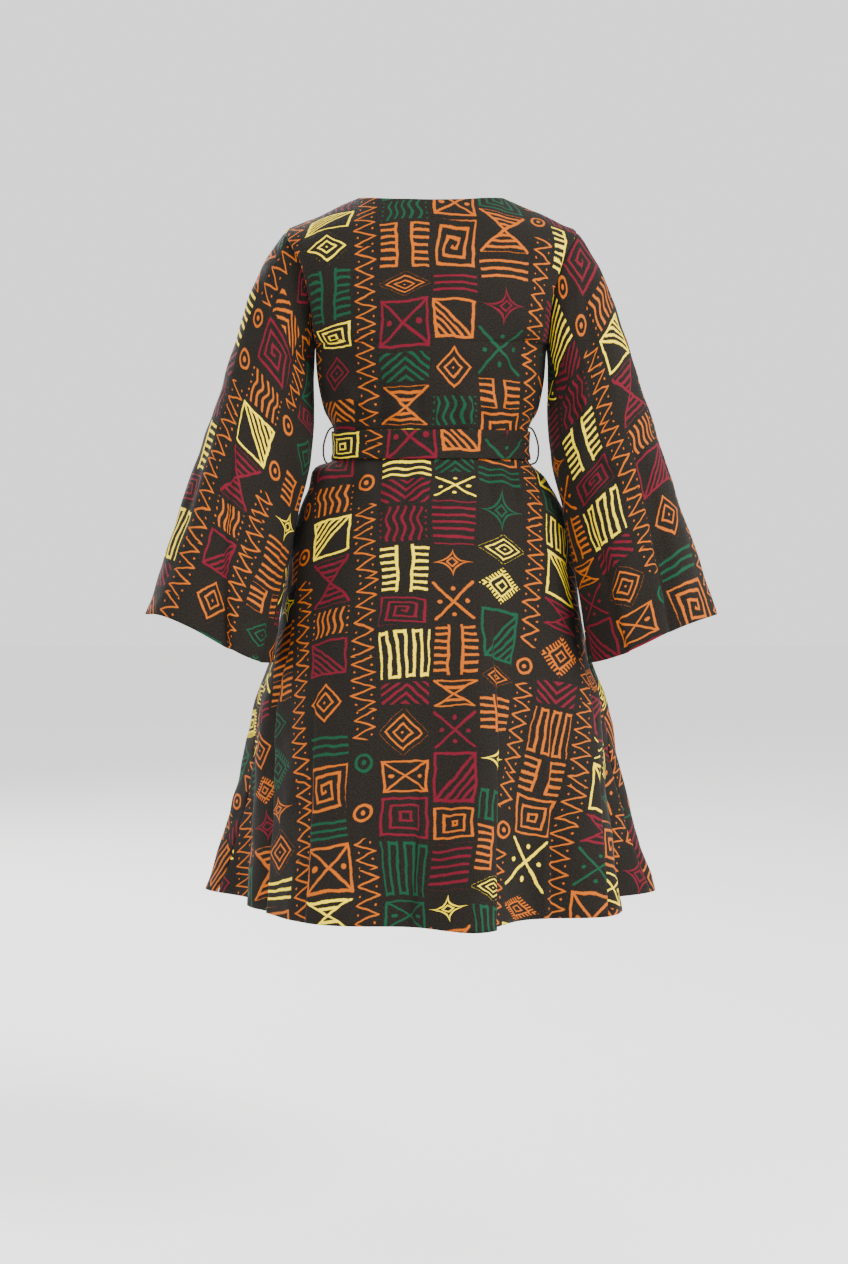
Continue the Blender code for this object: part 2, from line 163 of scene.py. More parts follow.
# Half-ellipse sections: x = width sin(angle), y = depth cos(angle), rounded over the shoulders
# by a quarter circle and swollen by the folds. side is 1 at the back and -1 at the front.
def dressPoints(angle, height, side):
    halfWidth, back, front = columnsAt(dress["sections"], height)
    depth = back if side > 0 else front
    reach = dress["armholeBack"] if side > 0 else dress["armholeFront"]
    below = (dress["armholeWidest"] - height) / (dress["armholeWidest"] - dress["underarm"])
    edge = reach * np.sqrt(1 - np.clip(below, 0, 1) ** 2)
    x = halfWidth * np.sin(angle)
    drop = np.clip((shoulderHeight(x) - height) / dress["shoulderRounding"], 0, 1)
    rise = np.sqrt(1 - (1 - drop) ** 2)
    y = side * rise * (edge + (depth - edge) * np.cos(angle))
    turn = angle if side > 0 else np.pi - angle
    swell = 1 + skirtFolds(turn, height) / np.hypot(x, y)
    return np.stack([x * swell, y * swell, height + 0 * x], axis=-1)


def wrapAngle(height):
    return np.arcsin(columnsAt(dress["wrapEdge"], height)[0] / columnsAt(dress["sections"], height)[0])


# Soft troughs and ridges: strength depth exp(-(distance from a bowed line / width)^2), fading
# towards both ends as a sine to the power of the roundness.
# Each is start across and height, end across and height, depth, half width and bow, in millimetres.
def creaseRelief(across, height, creases, strength=1.5, ends=0.2, roundness=0.7):
    relief = np.zeros(across.shape)
    for crease in creases:
        startAcross, startHeight, endAcross, endHeight, depth, halfWidth, bow = np.array(crease) / 1000
        runAcross, runHeight = endAcross - startAcross, endHeight - startHeight
        length = math.hypot(runAcross, runHeight)
        along = ((across - startAcross) * runAcross + (height - startHeight) * runHeight) / length ** 2
        held = np.clip(along, 0, 1)
        aside = ((across - startAcross) * runHeight - (height - startHeight) * runAcross) / length
        aside = aside - bow * 4 * held * (1 - held)
        past = (along - held) * length
        distance = np.hypot(aside, past)
        fade = ends + (1 - ends) * np.sin(np.pi * held) ** roundness
        relief = relief + strength * depth * fade * np.exp(-(distance / halfWidth) ** 2)
    return relief


# Sharp folds: a trough that falls steeply on one side of a line and rises gently on the other,
# depth exp(-distance / width). The cloth hidden in each fold makes the print jump across the line.
# Each is its turn at the start and at the end in degrees, the share of the length where it starts,
# depth and gentle width in mm, the side that is gentle, and the hidden cloth in mm.
def foldRelief(turn, share, radius, folds, steep=0.0045):
    relief = np.zeros(turn.shape)
    hidden = np.zeros(turn.shape)
    for startTurn, endTurn, start, depth, wide, side, inside in folds:
        growth = smoothStep((share - start) / (1 - start)) ** 0.8
        line = startTurn + (endTurn - startTurn) * np.clip((share - start) / (1 - start), 0, 1)
        away = (np.degrees(turn) - line + 180) % 360 - 180
        aside = side * np.radians(away) * radius
        gentle = np.exp(-np.maximum(aside, 0) / (wide / 1000))
        sharp = np.exp(-(np.minimum(aside, 0) / steep) ** 2)
        relief = relief - depth / 1000 * growth * gentle * sharp
        past = smoothStep(aside / steep + 1) * (np.abs(away) < 90)
        hidden = hidden + side * inside / 1000 * growth * past
    return relief, hidden


# Slight unevenness of laid cloth: a few long sine waves across each other
def clothRipple(across, height, size):
    waves = (
        (61, 23, 0.4, 1.0), (-37, 71, 2.1, 0.8), (113, 41, 4.4, 0.45), (19, -127, 5.2, 0.4),
        (171, -89, 1.3, 0.22), (-149, -163, 3.0, 0.2),
    )
    total = np.zeros(across.shape)
    for kAcross, kHeight, phase, weight in waves:
        total = total + weight * np.sin(kAcross * across + kHeight * height + phase)
    return size * total


# Unit normals of a grid of points, from its differences along both directions
def gridNormals(points, facing, isRing=False):
    padded = np.concatenate([points[:, -1:], points, points[:, :1]], axis=1) if isRing else points
    along = np.gradient(padded, axis=1)
    down = np.gradient(padded, axis=0)
    normal = facing * np.cross(along, down)
    normal = normal / np.maximum(np.linalg.norm(normal, axis=-1, keepdims=True), 1e-12)
    return normal[:, 1:-1] if isRing else normal


# Running length along one direction of a grid of points, from its first line
def runningLength(points, axis):
    steps = np.linalg.norm(np.diff(points, axis=axis), axis=-1)
    start = np.zeros_like(np.take(steps, [0], axis=axis))
    return np.concatenate([start, np.cumsum(steps, axis=axis)], axis=axis)


# The four corners of each face of a grid of point numbers
def gridQuads(index, facing=1):
    corners = [index[:-1, :-1], index[:-1, 1:], index[1:, 1:], index[1:, :-1]]
    return np.stack(corners[::facing], axis=-1).reshape(-1, 4)


# The flat cut, a grid in metres, becomes the mesh's UV map, face corner by face corner
def addCut(mesh, cut, facing=1):
    place = gridQuads(np.arange(cut.shape[0] * cut.shape[1]).reshape(cut.shape[:2]), facing)
    layer = mesh.uv_layers.new(name="cut")
    layer.data.foreach_set("uv", cut.reshape(-1, 2)[place.ravel()].astype(np.float32).ravel())


# Merges the points that meet at the poles and turns every face outwards
def closePoles(mesh):
    shaped = bmesh.new()
    shaped.from_mesh(mesh)
    bmesh.ops.remove_doubles(shaped, verts=shaped.verts, dist=1e-6)
    bmesh.ops.dissolve_degenerate(shaped, edges=shaped.edges, dist=1e-7)
    bmesh.ops.recalc_face_normals(shaped, faces=shaped.faces)
    shaped.to_mesh(mesh)
    shaped.free()


# A mesh becomes a piece that stands for its CAD node
def addPiece(node, kind, mesh, materials):
    mesh.shade_smooth()
    for material in materials:
        mesh.materials.append(material)
    piece = bpy.data.objects.new(f"{node}_{kind}", mesh)
    bpy.context.scene.collection.objects.link(piece)
    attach(piece, "root")
    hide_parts(node)
    return piece


# A grid of points becomes an open sheet; where it is a ring, its last column joins its first
def makeSheet(node, points, cut, materials, thickness, isRing=False, facing=1):
    index = np.arange(points.shape[0] * points.shape[1]).reshape(points.shape[:2])
    if isRing:
        index = np.concatenate([index, index[:, :1]], axis=1)
    mesh = bpy.data.meshes.new(f"{node}_cloth")
    mesh.from_pydata(points.reshape(-1, 3), [], gridQuads(index, facing))
    addCut(mesh, cut, facing)
    piece = addPiece(node, "cloth", mesh, materials)
    wall = piece.modifiers.new("cloth", "SOLIDIFY")
    wall.thickness = thickness
    wall.offset = -1
    wall.material_offset = len(materials) - 1
    wall.material_offset_rim = 0
    return piece


def hexToLinear(code):
    parts = [int(code[place:place + 2], 16) / 255 for place in (1, 3, 5)]
    linear = [part / 12.92 if part <= 0.04045 else ((part + 0.055) / 1.055) ** 2.4 for part in parts]
    return linear + [1.0]


# Inputs of a node by socket, each a link or a plain value
def setInputs(tree, node, inputs):
    for socket, value in inputs.items():
        if isinstance(value, bpy.types.NodeSocket):
            tree.links.new(value, node.inputs[socket])
        else:
            node.inputs[socket].default_value = value


# Adds one node: its settings by name, which come first, then its inputs
def addNode(tree, kind, inputs=None, **settings):
    node = tree.nodes.new(kind)
    for name, value in settings.items():
        setattr(node, name, value)
    setInputs(tree, node, inputs or {})
    return node


# Flat steps of a ramp, a place and a colour for each; a colour can carry three plain numbers
def setSteps(node, steps):
    ramp = node.color_ramp
    ramp.interpolation = "CONSTANT"
    while len(ramp.elements) > 1:
        ramp.elements.remove(ramp.elements[-1])
    for number, (place, colour) in enumerate(steps):
        stop = ramp.elements[0] if number == 0 else ramp.elements.new(place)
        stop.position = place
        stop.color = (*colour[:3], 1)
    return node.outputs[0]


# Screen print on plain-woven cotton: flat matt colour on a charcoal ground, edges a little rough
cotton = {
    "ground": ("#060504", "#1f1a14"),
    # the inks in the order in which the figures take them: orange, yellow, green and crimson
    "inks": ("#a24f00", "#e8cb00", "#a24f00", "#033b25", "#5c061b", "#a24f00", "#033b25", "#e8cb00",
             "#a24f00", "#5c061b"),
    "strokeMm": 3.7,
    # how far the drawing drifts, over what length, and the noise's detail
    "drifts": ((8.0, 85.0, 0.0), (3.2, 24.0, 1.5)),
    # noises of the surface: name, how many to a mm, and detail
    "noises": (("rough", 1 / 2.4, 2.0), ("speck", 0.55, 3.0), ("crumple", 0.028, 3.0)),
    "roughMm": 1.1,
    # columns of the print: left edge and right edge in mm, and whether it is a zigzag
    "columnsMm": ((0, 74, 0), (74, 114, 1), (114, 186, 0), (186, 222, 1), (222, 296, 0), (296, 362, 0)),
    # heights of the figures down one column before they come round again, in mm
    "figureHeightsMm": (70, 46, 76, 58, 44, 78, 60, 50, 74, 40),
    "gapMm": 3.4,
    # steps by which figures and inks go round down a column and from one column to the next, and
    # how many more steps chance can add
    "figureRound": (5.0, 3.0, 4.0),
    "inkRound": (3.0, 4.0, 3.0),
    "ringAbove": 0.86,
    "inkEdge": 1.1,
    "fade": (0.5, 0.72),
    "speckSpread": (3.2, -1.1),
    # threads are 0.4 mm apart and are drawn at 1.1 mm, so that they show
    "threadMm": 1.1,
    "threadBump": (0.25, 0.0002),
    "crumpleBump": (0.5, 0.0035),
    "inkSmoother": -0.12,
    "specular": 0.12,
    "sheen": (0.02, 0.5),
}


# Figures of the print. Each line makes one value: its name, a Math operation, and what it acts on.
# X and Y are mm from the figure's middle, W and H half its width and height, and each ...Far is
# the distance to that figure's nearest stroke.
figureSteps = (
    ("aX", "ABSOLUTE", "X"),
    ("aY", "ABSOLUTE", "Y"),
    ("scale", "DIVIDE", "W", "H"),
    ("qY", "MULTIPLY", "aY", "scale"),
    ("sY", "MULTIPLY", "Y", "scale"),
    ("larger", "MAXIMUM", "aX", "qY"),
    ("smaller", "MINIMUM", "aX", "qY"),
    ("sum", "ADD", "aX", "qY"),
    ("lean", "SUBTRACT", "aX", "qY"),
    ("diagonal", "MULTIPLY", ("ABSOLUTE", "lean"), 0.70),
    ("edge", "SUBTRACT", "W", 2.0),
    ("borderFar", "ABSOLUTE", ("SUBTRACT", "larger", "edge")),
    # level bars
    ("barsFar", "PINGPONG", "Y", 5.6),
    # wavy upright lines
    ("swungX", "MULTIPLY_ADD", ("SINE", ("MULTIPLY", "Y", 0.21)), 2.2, "X"),
    ("rimGap", "SUBTRACT", "W", "aX"),
    ("rimAway", "SUBTRACT", "rimGap", 2.2),
    ("rimDown", "PINGPONG", "Y", 4.8),
    ("rimSum", "MULTIPLY_ADD", "rimDown", "rimDown", ("MULTIPLY", "rimAway", "rimAway")),
    ("wavyKept", "MAXIMUM", ("PINGPONG", "swungX", 5.4), ("SUBTRACT", 8.0, "rimGap")),
    ("wavyFar", "MINIMUM", "wavyKept", ("ADD", ("SQRT", "rimSum"), 0.4)),
    # meander: upright lines joined by turns at the top and at the foot
    ("laneOdd", "FLOORED_MODULO", ("FLOOR", ("DIVIDE", "X", 11.0)), 2.0),
    ("turnY", "MULTIPLY", ("MULTIPLY_ADD", "laneOdd", 2.0, -1.0), ("SUBTRACT", "H", 2.5)),
    ("turnFar", "ABSOLUTE", ("SUBTRACT", "Y", "turnY")),
    ("meanderFar", "MINIMUM", ("PINGPONG", "X", 5.5), "turnFar"),
    # cross with a dot in each quarter
    ("dotOff", "SUBTRACT", "larger", ("MULTIPLY", "W", 0.66)),
    ("dotSquare", "MULTIPLY_ADD", "smaller", "smaller", ("MULTIPLY", "dotOff", "dotOff")),
    ("crossFar", "MINIMUM", "diagonal", ("SUBTRACT", ("SQRT", "dotSquare"), 1.4)),
    # diamonds inside each other
    ("diamondFar", "MAXIMUM", ("PINGPONG", "sum", 6.2), ("SUBTRACT", "sum", "W")),
    # hourglass: a cross with level hatching above and below
    ("hourglassFar", "MINIMUM", ("MAXIMUM", ("PINGPONG", "Y", 4.6), "lean"), "diagonal"),
    # square spiral
    ("spiralFar", "PINGPONG", ("MULTIPLY_ADD", ("ARCTAN2", "sY", "X"), 1.8, "larger"), 5.6),
    # nested frames
    ("framesFar", "PINGPONG", ("SUBTRACT", "larger", "edge"), 6.0),
    # star with hollow sides round a small diamond
    ("rootSum", "ADD", ("SQRT", "aX"), ("SQRT", "qY")),
    ("starSize", "ABSOLUTE", ("SUBTRACT", ("MULTIPLY", "rootSum", "rootSum"), "W")),
    ("gemFar", "ABSOLUTE", ("MULTIPLY_ADD", "W", -0.27, "sum")),
    ("starFar", "MINIMUM", ("MULTIPLY", "starSize", 0.42), "gemFar"),
    # stacked chevrons
    ("chevronFar", "MULTIPLY", ("PINGPONG", ("MULTIPLY_ADD", "aX", 0.85, "Y"), 6.4), 0.76),
    # framed triangle with slanting hatching
    ("slant", "ADD", "X", "sY"),
    ("slantHatch", "MULTIPLY", ("PINGPONG", "slant", 6.2), 0.70),
    ("slantHatched", "MAXIMUM", "slantHatch", ("MULTIPLY", "slant", -1.0)),
    ("triangleInner", "MINIMUM", "slantHatched", ("MULTIPLY", ("ABSOLUTE", "slant"), 0.70)),
    ("triangleFar", "MINIMUM", "triangleInner", "borderFar"),
    # comb: level teeth on both sides of two uprights
    ("postGap", "SUBTRACT", "aX", ("MULTIPLY", "W", 0.32)),
    ("teethFar", "MAXIMUM", ("PINGPONG", "Y", 5.0), ("MULTIPLY", "postGap", -1.0)),
    ("combFar", "MINIMUM", "teethFar", ("ABSOLUTE", "postGap")),
    # two triangles, point to point, each with a dot
    ("sideOff", "SUBTRACT", "aX", ("MULTIPLY", "W", 0.62)),
    ("sideSquare", "MULTIPLY_ADD", "qY", "qY", ("MULTIPLY", "sideOff", "sideOff")),
    ("bowInner", "MINIMUM", "diagonal", ("SUBTRACT", ("SQRT", "sideSquare"), 2.2)),
    ("bowFar", "MINIMUM", "bowInner", "borderFar"),
    # fringed diamond
    ("ringGap", "MULTIPLY_ADD", "W", -0.62, "sum"),
    ("fringeOut", "MULTIPLY_ADD", "W", -0.95, "sum"),
    ("fringeBand", "MAXIMUM", ("MULTIPLY", "ringGap", -1.0), "fringeOut"),
    ("fringeFar", "MAXIMUM", ("PINGPONG", "lean", 4.2), "fringeBand"),
    ("fringedFar", "MINIMUM", ("MINIMUM", ("ABSOLUTE", "ringGap"), "fringeFar"), "gemFar"),
)
figureKinds = (
    "barsFar", "wavyFar", "meanderFar", "crossFar", "diamondFar", "hourglassFar", "spiralFar",
    "framesFar", "starFar", "chevronFar", "triangleFar", "combFar", "bowFar", "fringedFar",
)

# The long zigzags between the columns, broken now and then by a ringed dot
zigzagSteps = (
    ("reach", "SUBTRACT", "W", 1.5),
    ("fold", "PINGPONG", "down", 11.5),
    ("foldSpan", "MULTIPLY_ADD", ("MULTIPLY", "fold", 0.0869), 2.0, -1.0),
    ("zigSize", "ABSOLUTE", ("SUBTRACT", "X", ("MULTIPLY", "foldSpan", "reach"))),
    # a dot in each notch of the zigzag
    ("foldTwice", "MULTIPLY_ADD", "fold", 2.0, -11.5),
    ("foldBack", "SUBTRACT", 11.5, "fold"),
    ("notchDown", "MULTIPLY_ADD", ("GREATER_THAN", "X", 0.0), "foldTwice", "foldBack"),
    ("notchAcross", "SUBTRACT", "aX", ("MULTIPLY", "reach", 0.74)),
    ("notchSquare", "MULTIPLY", "notchAcross", "notchAcross"),
    ("notchRadius", "SQRT", ("MULTIPLY_ADD", "notchDown", "notchDown", "notchSquare")),
    ("zigFar", "MINIMUM", ("MULTIPLY", "zigSize", 0.60), ("ADD", "notchRadius", 0.5)),
    ("ringRadius", "SQRT", ("MULTIPLY_ADD", "Y", "Y", ("MULTIPLY", "X", "X"))),
    ("eye", "SUBTRACT", "ringRadius", 1.6),
    ("eyeFar", "MINIMUM", ("ABSOLUTE", ("SUBTRACT", "ringRadius", 11.0)), "eye"),
)


# One value of the print: a number, a value by its name, or an operation on such values
def mathValue(tree, values, item):
    if not isinstance(item, tuple):
        return values.get(item, item)
    operation, *inputs = item
    sources = {place: mathValue(tree, values, part) for place, part in enumerate(inputs)}
    return addNode(tree, "ShaderNodeMath", sources, operation=operation).outputs[0]


def runSteps(tree, values, steps):
    for name, *step in steps:
        values[name] = mathValue(tree, values, tuple(step))


# The print is drawn from the cut's own coordinates, in mm: a column, a figure in it, and its strokes
def printedCotton(name, inkStrength, roughness):
    material = bpy.data.materials.new(name)
    material.use_nodes = True
    tree = material.node_tree
    shader = tree.nodes["Principled BSDF"]
    cut = addNode(tree, "ShaderNodeUVMap", uv_map="cut").outputs[0]
    inMm = addNode(tree, "ShaderNodeVectorMath", {0: cut, 3: 1000.0}, operation="SCALE").outputs[0]
    # the drawing leans slowly and wobbles quickly, as a hand's does
    drawn = inMm
    for farMm, everyMm, detail in cotton["drifts"]:
        drift = addNode(tree, "ShaderNodeTexNoise", {"Vector": inMm, "Scale": 1 / everyMm,
                                                     "Detail": detail})
        centred = addNode(tree, "ShaderNodeVectorMath", {0: drift.outputs["Color"], 1: (0.5, 0.5, 0.5)},
                          operation="SUBTRACT").outputs[0]
        shift = addNode(tree, "ShaderNodeVectorMath", {0: centred, 3: farMm * 2},
                        operation="SCALE").outputs[0]
        drawn = addNode(tree, "ShaderNodeVectorMath", {0: drawn, 1: shift}, operation="ADD").outputs[0]
    split = addNode(tree, "ShaderNodeSeparateXYZ", {0: drawn})
    threads = addNode(tree, "ShaderNodeSeparateXYZ", {0: inMm})
    values = {
        "across": split.outputs["X"],
        "down": split.outputs["Y"],
        "weft": threads.outputs["X"],
        "warp": threads.outputs["Y"],
        "chosen": 0.0,
    }
    for noise, perMm, detail in cotton["noises"]:
        values[noise] = addNode(tree, "ShaderNodeTexNoise", {"Vector": inMm, "Scale": perMm,
                                                             "Detail": detail}).outputs["Fac"]
    columns = cotton["columnsMm"]
    repeat = columns[-1][1]
    runSteps(tree, values, (
        ("repeats", "DIVIDE", "across", repeat),
        ("repeatNumber", "FLOOR", "repeats"),
        ("repeatShare", "FRACT", "repeats"),
    ))
    # red holds the column's middle, green half its width, both over the repeat, and blue its number
    # in tenths; a figure's ramp holds the same down the stack, with its number in twentieths
    column = setSteps(addNode(tree, "ShaderNodeValToRGB", {0: values["repeatShare"]}), [
        (left / repeat, ((left + right) / 2 / repeat, (right - left) / 2 / repeat, number / 10 + 0.05))
        for number, (left, right, isZigzag) in enumerate(columns)])
    parts = addNode(tree, "ShaderNodeSeparateColor", {0: column}).outputs
    values.update(middle=parts[0], halfWide=parts[1], number=parts[2])
    values["zigzag"] = setSteps(addNode(tree, "ShaderNodeValToRGB", {0: values["repeatShare"]}), [
        (left / repeat, (isZigzag,) * 3) for left, right, isZigzag in columns])
    # 7 and 13, in the keys, are more than the columns and the figures before each comes round again
    runSteps(tree, values, (
        ("plainX", "MULTIPLY", ("SUBTRACT", "repeatShare", "middle"), repeat),
        ("W", "SUBTRACT", ("MULTIPLY", "halfWide", repeat), cotton["gapMm"]),
        ("columnOwn", "FLOOR", ("MULTIPLY", "number", 10.0)),
        ("columnKey", "MULTIPLY_ADD", "repeatNumber", 7.0, "columnOwn"),
    ))
    values["columnNoise"] = addNode(tree, "ShaderNodeTexWhiteNoise", {"W": values["columnKey"]},
                                    noise_dimensions="1D").outputs["Value"]
    stack = sum(cotton["figureHeightsMm"])
    runSteps(tree, values, (
        ("stacks", "DIVIDE", ("MULTIPLY_ADD", "columnNoise", stack, "down"), stack),
        ("stackNumber", "FLOOR", "stacks"),
        ("stackShare", "FRACT", "stacks"),
    ))
    foot = 0
    figureStops = []
    for number, tall in enumerate(cotton["figureHeightsMm"]):
        carried = ((foot + tall / 2) / stack, tall / 2 / stack, number / 20 + 0.025)
        figureStops.append((foot / stack, carried))
        foot += tall
    figure = setSteps(addNode(tree, "ShaderNodeValToRGB", {0: values["stackShare"]}), figureStops)
    parts = addNode(tree, "ShaderNodeSeparateColor", {0: figure}).outputs
    values.update(figureMiddle=parts[0], halfTall=parts[1], figureOwn=parts[2])
    runSteps(tree, values, (
        ("plainY", "MULTIPLY", ("SUBTRACT", "stackShare", "figureMiddle"), stack),
        ("H", "SUBTRACT", ("MULTIPLY", "halfTall", stack), cotton["gapMm"]),
        ("figureFloor", "FLOOR", ("MULTIPLY", "figureOwn", 20.0)),
        ("figureKey", "MULTIPLY_ADD", "stackNumber", 13.0, "figureFloor"),
    ))
    key = addNode(tree, "ShaderNodeCombineXYZ", {0: values["columnKey"], 1: values["figureKey"]})
    chance = addNode(tree, "ShaderNodeTexWhiteNoise", {"Vector": key.outputs[0]}, noise_dimensions="3D")
    parts = addNode(tree, "ShaderNodeSeparateColor", {0: chance.outputs["Color"]}).outputs
    values.update(kindChance=chance.outputs["Value"], inkChance=parts[0], turnChance=parts[1],
                  ringChance=parts[2])
    kindDown, kindAcross, kindSpread = cotton["figureRound"]
    inkDown, inkAcross, inkSpread = cotton["inkRound"]
    inks = cotton["inks"]
    runSteps(tree, values, (
        # neighbours differ: the figure and its ink go round in steps, with a little chance added
        ("kindPart", "FLOOR", ("MULTIPLY", "kindChance", kindSpread)),
        ("kindDown", "MULTIPLY_ADD", "figureKey", kindDown, "kindPart"),
        ("kindBoth", "MULTIPLY_ADD", "columnKey", kindAcross, "kindDown"),
        ("kind", "FLOORED_MODULO", "kindBoth", float(len(figureKinds))),
        ("inkPart", "FLOOR", ("MULTIPLY", "inkChance", inkSpread)),
        ("inkDown", "MULTIPLY_ADD", "figureKey", inkDown, "inkPart"),
        ("inkBoth", "MULTIPLY_ADD", "columnKey", inkAcross, "inkDown"),
        ("inkTurn", "FLOORED_MODULO", "inkBoth", float(len(inks))),
        # half of the figures are turned round, and half upside down
        ("turnedSign", "MULTIPLY_ADD", ("GREATER_THAN", "turnChance", 0.5), -2.0, 1.0),
        ("X", "MULTIPLY", "plainX", "turnedSign"),
        ("upsetSign", "MULTIPLY_ADD", ("GREATER_THAN", "ringChance", 0.5), -2.0, 1.0),
        ("Y", "MULTIPLY", "plainY", "upsetSign"),
    ) + figureSteps)
    for number, kind in enumerate(figureKinds):
        runSteps(tree, values, (
            ("chosen", "MULTIPLY_ADD", ("COMPARE", "kind", float(number), 0.1), kind, "chosen"),
        ))
    runSteps(tree, values, zigzagSteps + (
        ("isRing", "GREATER_THAN", "ringChance", cotton["ringAbove"]),
        ("lineFar", "MULTIPLY_ADD", "isRing", ("SUBTRACT", "eyeFar", "zigFar"), "zigFar"),
        ("far", "MULTIPLY_ADD", "zigzag", ("SUBTRACT", "lineFar", "chosen"), "chosen"),
        # nothing is drawn in the gaps between figures, but the zigzags run on, 30 mm past any gap
        ("runsOn", "MULTIPLY", "zigzag", ("SUBTRACT", 1.0, "isRing")),
        ("tallKept", "ADD", ("SUBTRACT", "aY", "H"), ("MULTIPLY", "runsOn", -30.0)),
        ("outside", "MAXIMUM", ("SUBTRACT", "aX", "W"), "tallKept"),
        ("strokeFar", "MAXIMUM", "far", ("ADD", "outside", cotton["strokeMm"] / 2)),
        ("roughShift", "MULTIPLY_ADD", "rough", cotton["roughMm"] * 2, -cotton["roughMm"]),
        ("insideInk", "SUBTRACT", cotton["strokeMm"] / 2, ("ADD", "strokeFar", "roughShift")),
        ("softInk", "MULTIPLY_ADD", "insideInk", cotton["inkEdge"], 0.5),
    ))
    values["ink"] = addNode(tree, "ShaderNodeClamp", {0: values["softInk"]}).outputs[0]
    turnPerMm = 2 * math.pi / cotton["threadMm"]
    runSteps(tree, values, (
        # the long zigzags keep to the first ink, orange, but for the rings
        ("inkTurnKept", "MULTIPLY_ADD", "inkTurn", ("SUBTRACT", 1.0, "runsOn"), 0.5),
        ("inkPlace", "DIVIDE", "inkTurnKept", float(len(inks))),
        ("inkShown", "MULTIPLY", "ink", inkStrength),
        ("fade", "MULTIPLY_ADD", "rough", *cotton["fade"]),
        ("speckSpread", "MULTIPLY_ADD", "speck", *cotton["speckSpread"]),
        ("roughness", "MULTIPLY_ADD", "ink", cotton["inkSmoother"], roughness),
        # plain weave: the product of two sets of threads
        ("warpSine", "SINE", ("MULTIPLY", "warp", turnPerMm)),
        ("weave", "MULTIPLY", ("SINE", ("MULTIPLY", "weft", turnPerMm)), "warpSine"),
    ))
    dye = setSteps(addNode(tree, "ShaderNodeValToRGB", {0: values["inkPlace"]}), [
        (number / len(inks), hexToLinear(code)) for number, code in enumerate(inks)])
    dyed = addNode(tree, "ShaderNodeVectorMath", {0: dye, 3: values["fade"]},
                   operation="SCALE").outputs[0]
    dark, pale = (hexToLinear(code) for code in cotton["ground"])
    ground = addNode(tree, "ShaderNodeMix", {"Factor": values["speckSpread"], 6: dark, 7: pale},
                     data_type="RGBA")
    colour = addNode(tree, "ShaderNodeMix", {"Factor": values["inkShown"], 6: ground.outputs[2], 7: dyed},
                     data_type="RGBA")
    # a slight crumple under the weave
    strength, distance = cotton["crumpleBump"]
    crumpled = addNode(tree, "ShaderNodeBump", {"Height": values["crumple"], "Strength": strength,
                                                "Distance": distance})
    strength, distance = cotton["threadBump"]
    woven = addNode(tree, "ShaderNodeBump", {"Height": values["weave"], "Strength": strength,
                                             "Distance": distance, "Normal": crumpled.outputs[0]})
    setInputs(tree, shader, {
        "Base Color": colour.outputs[2],
        "Normal": woven.outputs[0],
        "Roughness": values["roughness"],
        "Specular IOR Level": cotton["specular"],
        "Sheen Weight": cotton["sheen"][0],
        "Sheen Roughness": cotton["sheen"][1],
    })
    return material


# Twisted cotton thread: fine slanting plies, matt and nearly black, with painted shade in the grooves
# between the plies
sewingThread = {
    # painted shade: the darker colour lies in the grooves between the plies and the paler one on their
    # crests
    "paintedGrooveShade": ("#171412", "#2c2724"),
    "bandsPerMetre": 260.0,
    "distortion": 1.5,
    "bump": (0.6, 0.0004),
    "roughness": 0.75,
}


def threadMaterial():
    material = bpy.data.materials.new("twistedCottonThread")
    material.use_nodes = True
    tree = material.node_tree
    place = addNode(tree, "ShaderNodeTexCoord").outputs["Object"]
    plies = addNode(tree, "ShaderNodeTexWave", {
        "Vector": place, "Scale": sewingThread["bandsPerMetre"], "Distortion": sewingThread["distortion"],
    }, bands_direction="DIAGONAL").outputs["Fac"]
    dark, pale = (hexToLinear(code) for code in sewingThread["paintedGrooveShade"])
    # painted shade: the ply bands that raise the bump also darken its grooves and lighten its crests
    paintedPlyShade = addNode(tree, "ShaderNodeMix", {"Factor": plies, 6: dark, 7: pale}, data_type="RGBA")
    strength, distance = sewingThread["bump"]
    bump = addNode(tree, "ShaderNodeBump", {"Height": plies, "Strength": strength, "Distance": distance})
    setInputs(tree, tree.nodes["Principled BSDF"], {
        "Base Color": paintedPlyShade.outputs[2],
        "Normal": bump.outputs[0],
        "Roughness": sewingThread["roughness"],
    })
    return material


printFace = printedCotton("printedPlainCotton", 1.0, 0.86)
printReverse = printedCotton("printedPlainCottonReverse", 0.30, 0.90)
thread = threadMaterial()
print("materials made")


# Lengths along the cloth from the centre line and from the waist, on each point's own section
def clothLengths(angle, height, side, samples=28):
    shares = np.linspace(0, 1, samples)[:, None, None]
    fromWaist = height - dress["waist"]
    across = dressPoints(angle * shares, height + 0 * shares, side)
    down = dressPoints(angle + 0 * shares, dress["waist"] + fromWaist * shares, side)
    acrossLength = np.linalg.norm(np.diff(across, axis=0), axis=-1).sum(axis=0) * np.sign(angle)
    downLength = np.linalg.norm(np.diff(down, axis=0), axis=-1).sum(axis=0) * np.sign(fromWaist)
    return acrossLength, downLength


# A bodice is cut straight; a flared skirt is cut as part of a ring, so its grain tilts to the sides
def flatCut(angle, height, side, look):
    across, down = clothLengths(angle, height, side)
    if look["flareRadius"] > 0:
        radius = look["flareRadius"] - down
        spread = across / radius
        across, down = radius * np.sin(spread), -radius * np.cos(spread)
    return np.stack([across * side, down], axis=-1) + np.array(look["printShift"])


# A seam's edge turns in: the cloth dips within a few millimetres of the grid's seam sides
def seamDip(points, sides, width=0.004, depth=0.0012):
    dip = np.zeros(points.shape[:2])
    lengths = {
        "top": runningLength(points, 0),
        "foot": runningLength(points[::-1], 0)[::-1],
        "first": runningLength(points, 1),
        "last": runningLength(points[:, ::-1], 1)[:, ::-1],
    }
    for side in sides:
        dip = np.maximum(dip, depth * np.exp(-(lengths[side] / width) ** 2))
    return dip


